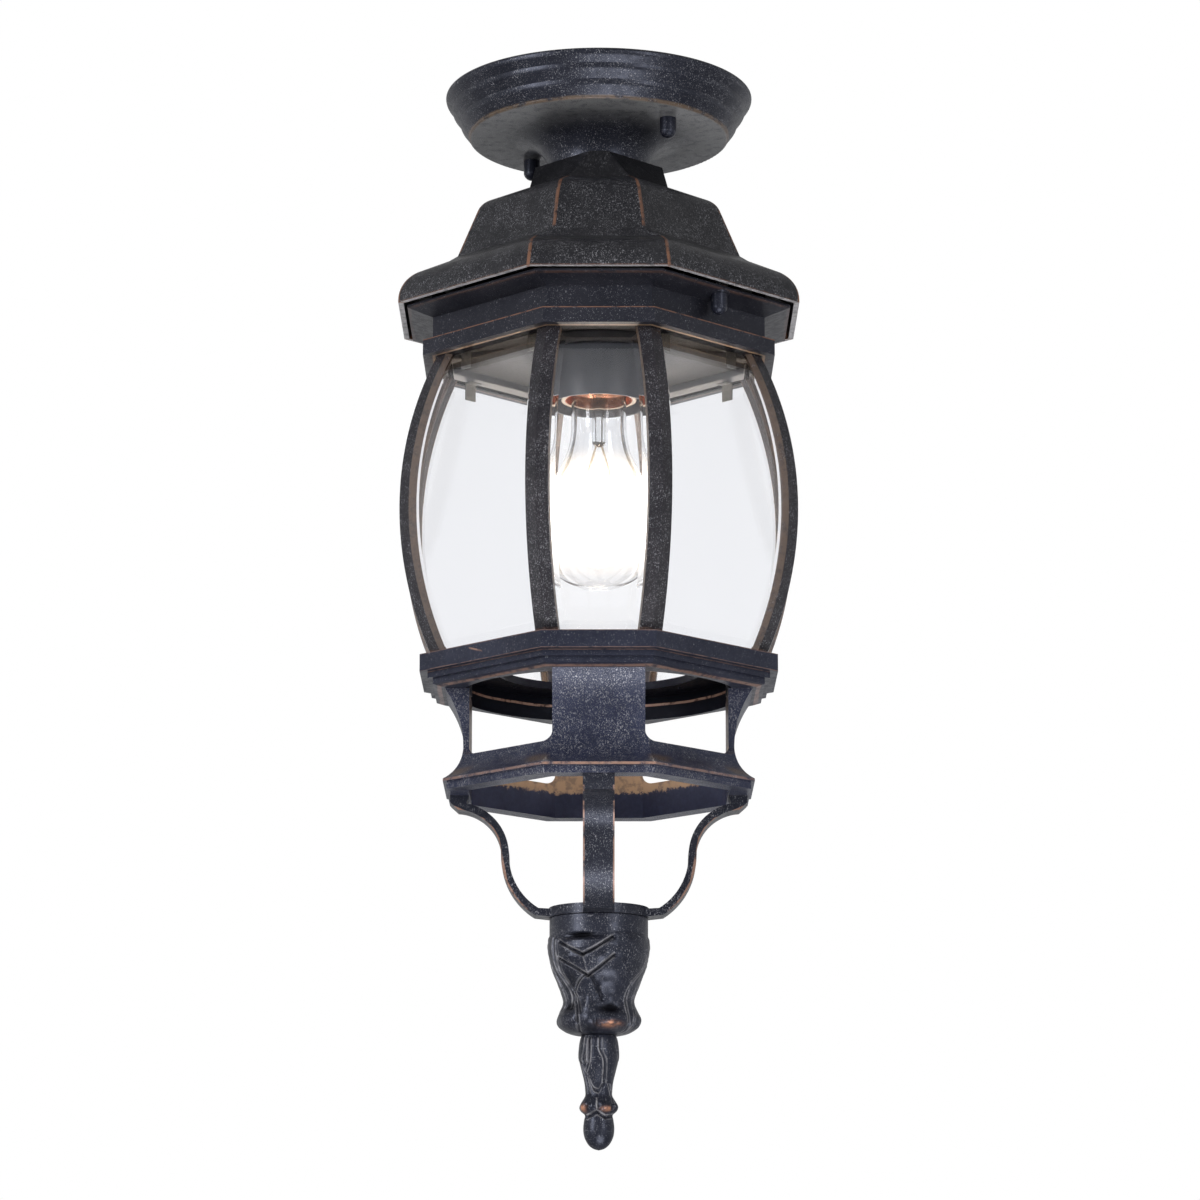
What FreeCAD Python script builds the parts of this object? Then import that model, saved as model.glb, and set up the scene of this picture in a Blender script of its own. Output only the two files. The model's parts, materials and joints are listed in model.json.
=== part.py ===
import FreeCAD, Part
import math
import os

import Sketcher
from FreeCAD import Placement, Rotation, Vector

# Porch ceiling lantern, millimetres. The origin is on the lantern's axis at the ceiling,
# +Z up, so every height below the ceiling is negative. Seen from above, the octagon has
# four narrow faces on the X and Y axes and four wide faces on the diagonals.

SIZES = {
    # Ceiling bars and the screws that hold them
    "box_screw_spacing": 88.9,
    "box_slot_length": 9.0,
    "box_slot_width": 5.0,
    "bar_length": 116.0,
    "bar_width": 19.0,
    "bar_thickness": 2.0,
    "rivet_radius": 6.5,
    "rivet_bore": 5.0,
    "rivet_head_radius": 8.5,
    "rivet_head_height": 1.2,
    "ground_screw_reach": 22.0,
    "ground_screw_radius": 2.0,
    "ground_head_radius": 4.4,
    "ground_head_height": 2.2,
    # Canopy
    "canopy_radius": 79.4,
    "canopy_floor_radius": 67.4,
    "canopy_height": 22.9,
    "canopy_wall": 1.6,
    "canopy_edge": 1.4,
    "trumpet_drop": 16.4,
    "trumpet_flare": 19.5,
    "trumpet_radius": 25.6,
    # Studs and nuts
    "stud_reach": 50.0,
    "stud_radius": 2.05,
    "stud_hole_clearance": 0.35,
    "stud_into_nut": 6.5,
    "lock_nut_radius": 4.3,
    "lock_nut_height": 2.6,
    "cap_nut_radius": 4.2,
    "cap_nut_height": 10.6,
    "cap_nut_dome": 3.6,
    "thread_clearance": 0.08,
    "seat_gap": 0.3,
    # Hollow rod that ties canopy and roof
    "nipple_radius": 5.0,
    "nipple_bore": 3.6,
    "nipple_hole_clearance": 0.3,
    "nipple_above_nut": 2.0,
    "nut_across": 14.0,
    "nut_height": 4.5,
    "washer_radius": 9.5,
    "washer_thickness": 1.0,
    # Roof casting
    "roof_wall": 2.6,
    "collar_top_half_width": 32.8,
    "collar_top_half_face": 4.6,
    "collar_bottom_half_width": 35.6,
    "collar_bottom_half_face": 15.8,
    "collar_height": 14.7,
    "dome_top_half_width": 36.6,
    "dome_top_half_face": 16.3,
    "shoulder_half_width": 54.5,
    "shoulder_half_face": 18.8,
    "shoulder_drop": 6.9,
    "shoulder_end_half_width": 62.0,
    "shoulder_end_half_face": 20.3,
    "shoulder_height": 6.7,
    "dome_foot_half_width": 72.0,
    "dome_foot_half_face": 22.6,
    "dome_height": 24.8,
    "brim_top_half_width": 76.0,
    "brim_top_half_face": 31.4,
    "brim_step": 5.2,
    "brim_half_width": 92.0,
    "brim_half_face": 33.2,
    "brim_drop": 6.5,
    "lip_half_width": 101.6,
    "lip_half_face": 34.6,
    "lip_curve_height": 15.0,
    "lip_height": 1.2,
    "roof_stud_reach": 85.0,
    "roof_stud_into_nut": 3.6,
    "stud_boss_radius": 4.6,
    "pan_boss_radius": 3.6,
    # Socket pan, cup and lampholder
    "pan_sheet": 1.4,
    "pan_flange_above_lip": 4.5,
    "pan_flange_half_width": 86.0,
    "pan_flange_half_face": 26.0,
    "pan_half_width": 78.6,
    "pan_half_face": 24.4,
    "pan_depth": 22.0,
    "pan_screw_reach": 82.4,
    "pan_screw_radius": 1.5,
    "pan_head_radius": 2.8,
    "pan_head_height": 1.8,
    "cup_radius": 25.2,
    "cup_wall": 1.0,
    "cup_height": 28.0,
    "socket_radius": 19.2,
    "socket_flange_radius": 26.5,
    "socket_flange_height": 3.0,
    "socket_above_pan": 16.0,
    "socket_mouth_above_cup": 2.8,
    "socket_clearance": 0.35,
    "socket_screw_reach": 22.0,
    "socket_screw_radius": 1.3,
    "socket_screw_head_radius": 2.0,
    "socket_screw_head_height": 1.6,
    "shell_radius": 13.75,
    "shell_sheet": 0.35,
    "shell_length": 25.6,
    "shell_mouth_radius": 17.2,
    "shell_flare_height": 5.5,
    "contact_tongue": 7.0,
    "contact_sheet": 0.6,
    # Bulb
    "bulb_length": 134.0,
    "bulb_radius": 33.3,
    "bulb_wall": 0.8,
    "bulb_neck_radius": 14.0,
    "bulb_neck_end": 49.3,
    "bulb_neck_flare": 45.0,
    "base_radius": 13.1,
    "base_sheet": 0.3,
    "base_length": 26.0,
    "base_tip_height": 0.8,
    "base_tip_radius": 4.8,
    "insulator_height": 2.8,
    "insulator_radius": 10.0,
    "glass_in_base": 4.5,
    "stem_radius": 3.4,
    "stem_end": 57.0,
    "filament_place": 93.0,
    "filament_half_span": 11.0,
    "filament_wire": 0.6,
    "lead_wire": 0.5,
    # Cage: upper ring
    "flange_gap": 0.5,
    "flange_half_width": 97.0,
    "flange_half_face": 31.5,
    "flange_edge": 1.3,
    "flange_slope": 3.8,
    "upper_band_half_width": 84.2,
    "upper_band_half_face": 26.3,
    "upper_band_height": 12.0,
    "lower_band_half_width": 89.2,
    "lower_band_half_face": 27.6,
    "lower_band_height": 8.0,
    "upper_opening_half_width": 80.6,
    "upper_opening_half_face": 25.2,
    "ledge_half_width": 74.0,
    "ledge_half_face": 22.8,
    "ledge_thickness": 3.0,
    "stud_pad_radius": 5.6,
    "stud_pad_drop": 2.6,
    # Cage: ribs and panes
    "rib_top_half_width": 82.0,
    "rib_widest_half_width": 100.1,
    "rib_bottom_half_width": 83.7,
    "rib_widest_drop": 79.2,
    "rib_height": 154.6,
    "corner_share": 0.31,
    "rib_width": 12.1,
    "rib_flange": 3.0,
    "rib_depth": 7.2,
    "rib_web": 5.0,
    "rib_peg_radius": 1.4,
    "rib_peg_length": 2.4,
    "rib_peg_inset": 5.0,
    "pane_thickness": 3.0,
    "pane_clearance": 0.3,
    "bevel_width": 6.0,
    "bevel_depth": 1.1,
    "clip_width": 7.0,
    "clip_length": 9.0,
    "clip_sheet": 0.6,
    "clip_foot": 5.0,
    "clip_place": 24.0,
    # Cage: lower ring
    "lower_ring_half_width": 89.4,
    "lower_ring_half_face": 28.0,
    "lower_ring_band": 8.8,
    "lower_step_half_width": 85.4,
    "lower_step_half_face": 27.0,
    "lower_step_height": 3.2,
    "second_step_half_width": 82.8,
    "second_step_half_face": 26.4,
    "second_step_height": 2.8,
    "lower_foot_half_width": 78.6,
    "lower_foot_half_face": 25.4,
    "lower_foot_height": 1.4,
    "lower_web": 3.8,
    "lower_opening_radius": 52.0,
    "lower_bore_radius": 70.6,
    "drain_reach": 60.0,
    "drain_radius": 1.8,
    # Cage: upper basket
    "strap_top_half_width": 77.0,
    "strap_top_half_face": 25.0,
    "waist_half_width": 67.5,
    "waist_half_face": 24.0,
    "waist_drop": 30.0,
    "basket_lip_half_width": 77.4,
    "basket_lip_half_face": 27.6,
    "basket_lip_drop": 16.6,
    "basket_lip_edge": 1.4,
    "basket_foot_half_width": 75.6,
    "basket_foot_half_face": 27.0,
    "basket_foot_height": 3.8,
    "basket_inner_half_width": 64.6,
    "basket_inner_half_face": 22.8,
    "strap_half_width": 22.7,
    "window_height": 34.4,
    "window_round": 5.0,
    "basket_screw_reach": 68.4,
    "basket_screw_radius": 1.8,
    "basket_screw_length": 8.0,
    "basket_boss_radius": 4.4,
    "basket_head_radius": 2.9,
    "basket_head_height": 2.0,
    # Cage: lower basket
    "arm_width": 15.5,
    "arm_thickness": 4.0,
    "arm_top_outer": 74.4,
    "arm_top_inner": 65.0,
    "arm_shoulder_outer": 70.5,
    "arm_shoulder_drop": 7.2,
    "arm_edge_drop": 3.6,
    "arm_waist": 48.8,
    "arm_waist_drop": 30.2,
    "arm_foot": 32.2,
    "arm_foot_drop": 60.1,
    "collar_disc_radius": 25.0,
    "collar_disc_height": 5.0,
    "arm_pin_reach": 69.5,
    "arm_pin_radius": 1.5,
    "arm_pin_up": 6.0,
    "arm_pin_down": 4.6,
    # Tail: rod, leaf cup and finial
    "rod_radius": 3.0,
    "rod_above_disc": 7.5,
    "rod_into_finial": 14.0,
    "tail_nut_radius": 6.4,
    "tail_nut_height": 4.6,
    "cup_rim_radius": 24.6,
    "cup_rim_height": 8.8,
    "leaf_bulge_radius": 25.9,
    "leaf_bulge_drop": 13.6,
    "leaf_neck_radius": 17.6,
    "leaf_neck_drop": 40.9,
    "leaf_tip_radius": 20.6,
    "leaf_tip_drop": 50.9,
    "leaf_foot_radius": 9.6,
    "leaf_foot_drop": 58.4,
    "finial_top_radius": 8.6,
    "finial_bulge_radius": 10.2,
    "finial_bulge_drop": 9.5,
    "finial_waist_radius": 6.2,
    "finial_waist_drop": 28.0,
    "finial_curl_radius": 9.4,
    "finial_curl_drop": 34.5,
    "finial_neck_radius": 4.2,
    "finial_neck_drop": 39.5,
    "finial_drop_radius": 7.9,
    "finial_drop_place": 47.8,
    "finial_length": 56.7,
    # The lantern's own wires and their connectors
    "wire_radius": 1.1,
    "wire_bend": 6.0,
    "wire_side": 1.7,
    "connector_radius": 5.6,
    "connector_tip_radius": 3.6,
    "connector_length": 19.0,
    "connector_start": 27.0,
    "connector_level": 13.0,
}

ROOT_TWO = math.sqrt(2)
STRAIGHT = "straight"
UPRIGHT_START = "upright start"
UPRIGHT_END = "upright end"
LEVEL_START = "level start"
LEVEL_END = "level end"
INTO_NEXT = "runs into the next side"
FROM_LAST = "runs on from the last side"


def value_of(length):
    return length.value if isinstance(length, Size) else float(length)


def text_of(length):
    return length.text if isinstance(length, Size) else repr(float(length))


class Size:
    """A length that carries its value and the formula that ties it to the sheet."""

    def __init__(self, value, text):
        self.value = value
        self.text = text

    def __add__(self, other):
        return Size(self.value + value_of(other), f"({self.text} + {text_of(other)})")

    def __sub__(self, other):
        return Size(self.value - value_of(other), f"({self.text} - {text_of(other)})")

    def __mul__(self, other):
        return Size(self.value * value_of(other), f"({self.text} * {text_of(other)})")

    def __truediv__(self, other):
        return Size(self.value / value_of(other), f"({self.text} / {text_of(other)})")

    def __neg__(self):
        return Size(-self.value, f"(0 - {self.text})")

    def __abs__(self):
        return Size(abs(self.value), f"abs({self.text})")

    def root(self):
        return Size(math.sqrt(self.value), f"sqrt({self.text})")


class Sheet:
    """The driving dimensions: one named cell each, read as Size by attribute."""

    def __init__(self, doc, table):
        self.cells = doc.addObject("Spreadsheet::Sheet", "Sizes")
        for row, (name, value) in enumerate(table.items(), start=1):
            self.cells.set(f"A{row}", name)
            self.cells.set(f"B{row}", str(value))
            self.cells.setAlias(f"B{row}", name)
        doc.recompute()

    def __getattr__(self, name):
        return Size(self.cells.get(name), f"Sizes.{name}")


doc = FreeCAD.newDocument("porch_ceiling_lantern")
size = Sheet(doc, SIZES)
nodes = []


# Heights, from the ceiling down

neck_bottom = -(size.canopy_height + size.trumpet_drop)
collar_bottom = neck_bottom - size.collar_height
shoulder_level = collar_bottom - size.shoulder_drop
shoulder_end = shoulder_level - size.shoulder_height
dome_foot = shoulder_end - size.dome_height
brim_top = dome_foot - size.brim_step
brim_end = brim_top - size.brim_drop
lip_top = brim_end - size.lip_curve_height
lip_bottom = lip_top - size.lip_height
pan_top = lip_bottom + size.pan_flange_above_lip
pan_floor = pan_top - size.pan_depth
cup_mouth = pan_floor - size.cup_height
socket_top = pan_floor + size.socket_above_pan
socket_mouth = cup_mouth + size.socket_mouth_above_cup
flange_top = lip_bottom - size.flange_gap
band_top = flange_top - size.flange_edge - size.flange_slope
lower_band_top = band_top - size.upper_band_height
ring_bottom = lower_band_top - size.lower_band_height
rib_widest = ring_bottom - size.rib_widest_drop
lower_ring_top = ring_bottom - size.rib_height
first_step = lower_ring_top - size.lower_ring_band
second_step = first_step - size.lower_step_height
foot_top = second_step - size.second_step_height
lower_ring_bottom = foot_top - size.lower_foot_height
waist = lower_ring_bottom - size.waist_drop
basket_lip = waist - size.basket_lip_drop
basket_bottom = basket_lip - size.basket_lip_edge - size.basket_foot_height
arm_waist = basket_bottom - size.arm_waist_drop
arm_foot = basket_bottom - size.arm_foot_drop
disc_bottom = arm_foot - 1.0
disc_top = disc_bottom + size.collar_disc_height
finial_top = disc_bottom - size.leaf_foot_drop
shell_top = socket_mouth + size.shell_length + size.shell_flare_height + size.shell_flare_height
bulb_tip = shell_top - size.contact_sheet - size.seat_gap


# Drawing helpers

def bind(thing, name, length):
    """Ties one property to its formula, or sets a plain number."""
    if isinstance(length, Size):
        thing.setExpression(name, length.text)
    else:
        setattr(thing, name, length)


def arc_beside(touch, beyond, other):
    """Radius, as a Size, and centre of the arc that leaves the side touch-beyond for other."""
    side_x, side_y = beyond[0] - touch[0], beyond[1] - touch[1]
    chord_x, chord_y = other[0] - touch[0], other[1] - touch[1]
    length = (side_x * side_x + side_y * side_y).root()
    chord = chord_x * chord_x + chord_y * chord_y
    off_line = side_x * chord_y - side_y * chord_x
    radius = chord * length / (abs(off_line) * 2)
    reach = math.copysign(radius.value / length.value, off_line.value)
    centre = Vector(touch[0].value - side_y.value * reach, touch[1].value + side_x.value * reach, 0)
    return radius, centre


def arc_centre(start, end, kind):
    """Radius, as a Size, and centre of the arc from start to end with that tangent."""
    across = start[0] - end[0]
    along = start[1] - end[1]
    leg = abs(across) if kind in (UPRIGHT_START, UPRIGHT_END) else abs(along)
    radius = (across * across + along * along) / (leg * 2)
    start_x, start_y = value_of(start[0]), value_of(start[1])
    end_x, end_y = value_of(end[0]), value_of(end[1])
    reach = radius.value
    if kind == UPRIGHT_START:
        centre = Vector(start_x + math.copysign(reach, end_x - start_x), start_y, 0)
    elif kind == UPRIGHT_END:
        centre = Vector(end_x + math.copysign(reach, start_x - end_x), end_y, 0)
    elif kind == LEVEL_START:
        centre = Vector(start_x, start_y + math.copysign(reach, end_y - start_y), 0)
    else:
        centre = Vector(end_x, end_y + math.copysign(reach, start_y - end_y), 0)
    return radius, centre


def as_size(length):
    return length if isinstance(length, Size) else Size(float(length), repr(float(length)))


def draw(sketch, outline):
    """Draws a closed outline. Each point is (x, y) or (x, y, kind of arc that leads to it)."""
    points = [(as_size(p[0]), as_size(p[1]), p[2] if len(p) > 2 else STRAIGHT) for p in outline]
    count = len(points)
    first_end = []
    last_end = []
    for index in range(count):
        start = points[index]
        end = points[(index + 1) % count]
        from_point = Vector(start[0].value, start[1].value, 0)
        to_point = Vector(end[0].value, end[1].value, 0)
        if end[2] == STRAIGHT:
            sketch.addGeometry(Part.LineSegment(from_point, to_point), False)
            first_end.append(1)
            last_end.append(2)
            continue
        if end[2] == INTO_NEXT:
            radius, centre = arc_beside(end, points[(index + 2) % count], start)
        elif end[2] == FROM_LAST:
            radius, centre = arc_beside(start, points[index - 1], end)
        else:
            radius, centre = arc_centre(start, end, end[2])
        turn = (from_point - centre).cross(to_point - centre).z
        low, high = (from_point, to_point) if turn > 0 else (to_point, from_point)
        circle = Part.Circle(centre, Vector(0, 0, 1), radius.value)
        low_angle = math.atan2(low.y - centre.y, low.x - centre.x)
        high_angle = math.atan2(high.y - centre.y, high.x - centre.x)
        sketch.addGeometry(Part.ArcOfCircle(circle, low_angle, high_angle), False)
        first_end.append(1 if turn > 0 else 2)
        last_end.append(2 if turn > 0 else 1)
        number = sketch.addConstraint(Sketcher.Constraint("Radius", index, radius.value))
        sketch.renameConstraint(number, f"radius_{index}")
        sketch.setExpression(f"Constraints.radius_{index}", radius.text)
    for index in range(count):
        after = (index + 1) % count
        joint = Sketcher.Constraint("Coincident", index, last_end[index], after, first_end[after])
        sketch.addConstraint(joint)
    for index, point in enumerate(points):
        for name, axis, length in (("DistanceX", -2, point[0]), ("DistanceY", -1, point[1])):
            if length.value == 0:
                sketch.addConstraint(Sketcher.Constraint("PointOnObject", index, first_end[index], axis))
                continue
            place = Sketcher.Constraint(name, -1, 1, index, first_end[index], length.value)
            number = sketch.addConstraint(place)
            sketch.renameConstraint(number, f"{name}_{index}")
            sketch.setExpression(f"Constraints.{name}_{index}", length.text)


def draw_circle(sketch, x, y, radius):
    """Draws one circle whose centre and radius are bound to the sheet."""
    x, y, radius = as_size(x), as_size(y), as_size(radius)
    sketch.addGeometry(Part.Circle(Vector(x.value, y.value, 0), Vector(0, 0, 1), radius.value), False)
    circle = sketch.GeometryCount - 1
    number = sketch.addConstraint(Sketcher.Constraint("Radius", circle, radius.value))
    sketch.renameConstraint(number, f"radius_{circle}")
    sketch.setExpression(f"Constraints.radius_{circle}", radius.text)
    for name, axis, length in (("DistanceX", -2, x), ("DistanceY", -1, y)):
        if length.value == 0:
            sketch.addConstraint(Sketcher.Constraint("PointOnObject", circle, 3, axis))
            continue
        number = sketch.addConstraint(Sketcher.Constraint(name, -1, 1, circle, 3, length.value))
        sketch.renameConstraint(number, f"{name}_{circle}")
        sketch.setExpression(f"Constraints.{name}_{circle}", length.text)


def mirrored(half):
    """Closes a right-hand half outline, drawn from top to bottom, with its mirror image."""
    kinds = [p[2] if len(p) > 2 else STRAIGHT for p in half]
    swapped = {STRAIGHT: STRAIGHT, UPRIGHT_START: UPRIGHT_END, UPRIGHT_END: UPRIGHT_START,
               LEVEL_START: LEVEL_END, LEVEL_END: LEVEL_START,
               INTO_NEXT: FROM_LAST, FROM_LAST: INTO_NEXT}
    left = []
    for index in range(len(half) - 1, -1, -1):
        arrives = kinds[index + 1] if index + 1 < len(half) else STRAIGHT
        left.append((-as_size(half[index][0]), half[index][1], swapped[arrives]))
    return list(half) + left


# Feature helpers

def keep(made, label):
    """Names a finished sub-part and puts it on the list of pieces to write."""
    made.Label = label
    nodes.append(made)
    return made


def new_body(label):
    body = doc.addObject("PartDesign::Body", label)
    body.AllowCompound = True
    return body


def new_sketch(body, name, role, level=None):
    """A sketch on one of the body's own origin planes, raised to a level if one is given."""
    sketch = body.newObject("Sketcher::SketchObject", f"{body.Name}_{name}")
    plane = [item for item in body.Origin.OriginFeatures if item.Role == role][0]
    sketch.AttachmentSupport = [(plane, "")]
    sketch.MapMode = "FlatFace"
    if level is not None:
        sketch.setExpression("AttachmentOffset.Base.z", text_of(level))
    return sketch


def turned(body, name, half):
    """Revolves a half outline, drawn in the XZ plane, round the Z axis."""
    sketch = new_sketch(body, name + "_outline", "XZ_Plane")
    draw(sketch, half)
    feature = body.newObject("PartDesign::Revolution", f"{body.Name}_{name}")
    feature.Profile = sketch
    feature.ReferenceAxis = (sketch, ["V_Axis"])
    feature.Angle = 360
    body.Tip = feature
    return feature


def plug(body, name, circles, top, height):
    """Pads circles, each (x, y, radius), from a level downwards."""
    sketch = new_sketch(body, name + "_outline", "XY_Plane", top)
    for x, y, radius in circles:
        draw_circle(sketch, x, y, radius)
    feature = body.newObject("PartDesign::Pad", f"{body.Name}_{name}")
    feature.Profile = sketch
    feature.Reversed = True
    bind(feature, "Length", height)
    body.Tip = feature
    return feature


def bore(body, name, circles, top, depth):
    """Pockets circles, each (x, y, radius), from a level downwards."""
    sketch = new_sketch(body, name + "_outline", "XY_Plane", top)
    for x, y, radius in circles:
        draw_circle(sketch, x, y, radius)
    feature = body.newObject("PartDesign::Pocket", f"{body.Name}_{name}")
    feature.Profile = sketch
    bind(feature, "Length", depth)
    body.Tip = feature
    return feature


def flat_pad(body, name, outline, top, height):
    """Pads a closed outline drawn in the XY plane, from a level downwards."""
    sketch = new_sketch(body, name + "_outline", "XY_Plane", top)
    draw(sketch, outline)
    feature = body.newObject("PartDesign::Pad", f"{body.Name}_{name}")
    feature.Profile = sketch
    feature.Reversed = True
    bind(feature, "Length", height)
    body.Tip = feature
    return feature


def around(body, features, count):
    """Repeats features round the body's Z axis."""
    pattern = body.newObject("PartDesign::PolarPattern", f"{features[-1].Name}_round")
    pattern.Originals = features
    axis = [item for item in body.Origin.OriginFeatures if item.Role == "Z_Axis"][0]
    pattern.Axis = (axis, [""])
    pattern.Angle = 360
    pattern.Occurrences = count
    body.Tip = pattern
    return pattern


def turned_copies(label, source, turns):
    """One sub-part made of copies of a body, turned about the lantern's axis."""
    members = []
    for turn in turns:
        copy = doc.addObject("App::Link", f"{label}_at_{turn}".replace("-", "minus_"))
        copy.LinkedObject = source
        copy.LinkTransform = True
        copy.Placement = Placement(Vector(0, 0, 0), Rotation(Vector(0, 0, 1), turn))
        members.append(copy)
    return grouped(label, members)


def grouped(label, members):
    """One sub-part made of separate bodies."""
    group = doc.addObject("Part::Compound", label)
    group.Links = members
    return keep(group, label)


def octagon_solid(name, levels, inset=0, drop=0):
    """The solid inside four narrow and four wide walls.

    Each level is (half width, half narrow face, height) or has a kind of arc as well.
    inset moves all walls inwards, and drop moves the whole form down.
    """
    side = [(as_size(p[0]) - inset, as_size(p[2]) - drop) + tuple(p[3:]) for p in levels]
    corner = [((as_size(p[0]) + p[1]) / ROOT_TWO - inset, as_size(p[2]) - drop) + tuple(p[3:])
              for p in levels]
    walls = []
    for turn, half in ((0, side), (90, side), (45, corner), (135, corner)):
        sketch = doc.addObject("Sketcher::SketchObject", f"{name}_outline_{turn}")
        upright = Rotation(Vector(1, 0, 0), 90)
        sketch.Placement = Placement(Vector(0, 0, 0), Rotation(Vector(0, 0, 1), turn) * upright)
        draw(sketch, mirrored(half))
        wall = doc.addObject("Part::Extrusion", f"{name}_walls_{turn}")
        wall.Base = sketch
        wall.DirMode = "Normal"
        wall.Symmetric = True
        wall.Solid = True
        bind(wall, "LengthFwd", size.lip_half_width * 3)
        walls.append(wall)
    solid = doc.addObject("Part::MultiCommon", name)
    solid.Shapes = walls
    return solid


def cylinder(name, radius, top, height, reach=0, turn=0):
    """An upright Part cylinder that hangs down from a level, at a reach and turn from the axis."""
    made = doc.addObject("Part::Cylinder", name)
    bind(made, "Radius", radius)
    bind(made, "Height", height)
    angle = math.radians(turn)
    if value_of(reach) != 0:
        bind(made, "Placement.Base.x", as_size(reach) * math.cos(angle))
        bind(made, "Placement.Base.y", as_size(reach) * math.sin(angle))
    bind(made, "Placement.Base.z", as_size(top) - height)
    return made


def fused(name, shapes):
    made = doc.addObject("Part::MultiFuse", name)
    made.Shapes = shapes
    made.Refine = True
    return made


def cut(name, base, tool):
    made = doc.addObject("Part::Cut", name)
    made.Base = base
    made.Tool = tool
    return made


def common(name, shapes):
    made = doc.addObject("Part::MultiCommon", name)
    made.Shapes = shapes
    return made


def formed(label, shape):
    """A sub-part whose shape comes straight from solid modelling functions."""
    made = doc.addObject("Part::Feature", label)
    made.Shape = shape
    return keep(made, label)


# Ceiling side

FIXTURE_TURN = -45  # the bar, the canopy's nuts and the roof's nuts lie on one diagonal


def bar(label, top, slots):
    """A flat bar with round ends and a hole for the swivel rivet."""
    body = new_body(label)
    half_length = size.bar_length / 2
    half_width = size.bar_width / 2
    straight = half_length - half_width
    outline = [
        (-straight, -half_width, UPRIGHT_START),
        (straight, -half_width),
        (half_length, 0, LEVEL_START),
        (straight, half_width, UPRIGHT_START),
        (-straight, half_width),
        (-half_length, 0, LEVEL_START),
    ]
    flat_pad(body, "strip", outline, top, size.bar_thickness)
    bore(body, "rivet_hole", [(0, 0, size.rivet_radius)], top, size.bar_thickness)
    if slots:
        inner = size.box_slot_length / 2 - size.box_slot_width / 2
        centre = size.box_screw_spacing / 2
        slot = size.box_slot_width / 2
        for name, side in (("right", 1), ("left", -1)):
            middle = centre * side
            shape = [
                (middle - inner, -slot),
                (middle + inner, -slot),
                (middle + inner, slot),
                (middle - inner, slot),
            ]
            sketch = new_sketch(body, name + "_slot_outline", "XY_Plane", top)
            draw(sketch, shape)
            feature = body.newObject("PartDesign::Pocket", f"{label}_{name}_slot")
            feature.Profile = sketch
            bind(feature, "Length", size.bar_thickness)
            for end, place in (("outer", middle + inner), ("inner", middle - inner)):
                bore(body, f"{name}_{end}_round", [(place, 0, slot)], top, size.bar_thickness)
    else:
        hole = size.stud_radius + size.thread_clearance
        studs = [(size.stud_reach, 0, hole), (-size.stud_reach, 0, hole)]
        bore(body, "stud_holes", studs, top, size.bar_thickness)
        ground = size.ground_screw_radius + size.thread_clearance
        bore(body, "ground_hole", [(size.ground_screw_reach, 0, ground)], top, size.bar_thickness)
        body.Placement = Placement(Vector(0, 0, 0), Rotation(Vector(0, 0, 1), FIXTURE_TURN))
    return keep(body, label)


def ceiling_bars():
    bar("ceiling_bar", 0, True)
    bar("fixture_bar", -size.bar_thickness, False)


def swivel_rivet():
    """Hollow rivet on which the two bars turn while the lantern is hung."""
    body = new_body("swivel_rivet")
    shank = size.rivet_radius - size.thread_clearance
    under = -(size.bar_thickness * 2)
    turned(body, "rivet", [
        (size.rivet_bore, 0),
        (shank, 0),
        (shank, under),
        (size.rivet_head_radius, under),
        (size.rivet_head_radius, under - size.rivet_head_height),
        (size.rivet_bore, under - size.rivet_head_height),
    ])
    keep(body, "swivel_rivet")


def ground_screw():
    body = new_body("ground_screw")
    under = -(size.bar_thickness * 2)
    turned(body, "screw", [
        (0, -size.bar_thickness),
        (size.ground_screw_radius, -size.bar_thickness),
        (size.ground_screw_radius, under),
        (size.ground_head_radius, under),
        (size.ground_head_radius, under - size.ground_head_height),
        (0, under - size.ground_head_height),
    ])
    place_on_diagonal(body, size.ground_screw_reach)
    keep(body, "ground_screw")


def place_on_diagonal(body, reach):
    """Moves a body out along the diagonal that carries the nuts."""
    angle = math.radians(FIXTURE_TURN)
    bind(body, "Placement.Base.x", as_size(reach) * math.cos(angle))
    bind(body, "Placement.Base.y", as_size(reach) * math.sin(angle))


CANOPY_BANDS = (0, 0.27, 0.62, 1)  # where the wall's three bands meet, as shares of its taper
BAND_SHOULDER = (0.28, 0.45)  # where a band stops being round, as shares of its taper and height


def canopy_wall():
    """The canopy's outside: a rounded rim and three soft bands that taper to the floor."""
    taper = size.canopy_radius - size.canopy_floor_radius
    height = size.canopy_height - size.canopy_edge * 2
    points = [(size.canopy_radius - size.canopy_edge, 0),
              (size.canopy_radius, -size.canopy_edge, UPRIGHT_END)]
    for above, below in zip(CANOPY_BANDS, CANOPY_BANDS[1:]):
        radius = size.canopy_radius - taper * above
        level = -(size.canopy_edge + height * above)
        band = below - above
        points.append((radius - taper * band * BAND_SHOULDER[0],
                       level - height * band * BAND_SHOULDER[1], UPRIGHT_START))
        points.append((radius - taper * band, level - height * band))
    return points


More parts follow.
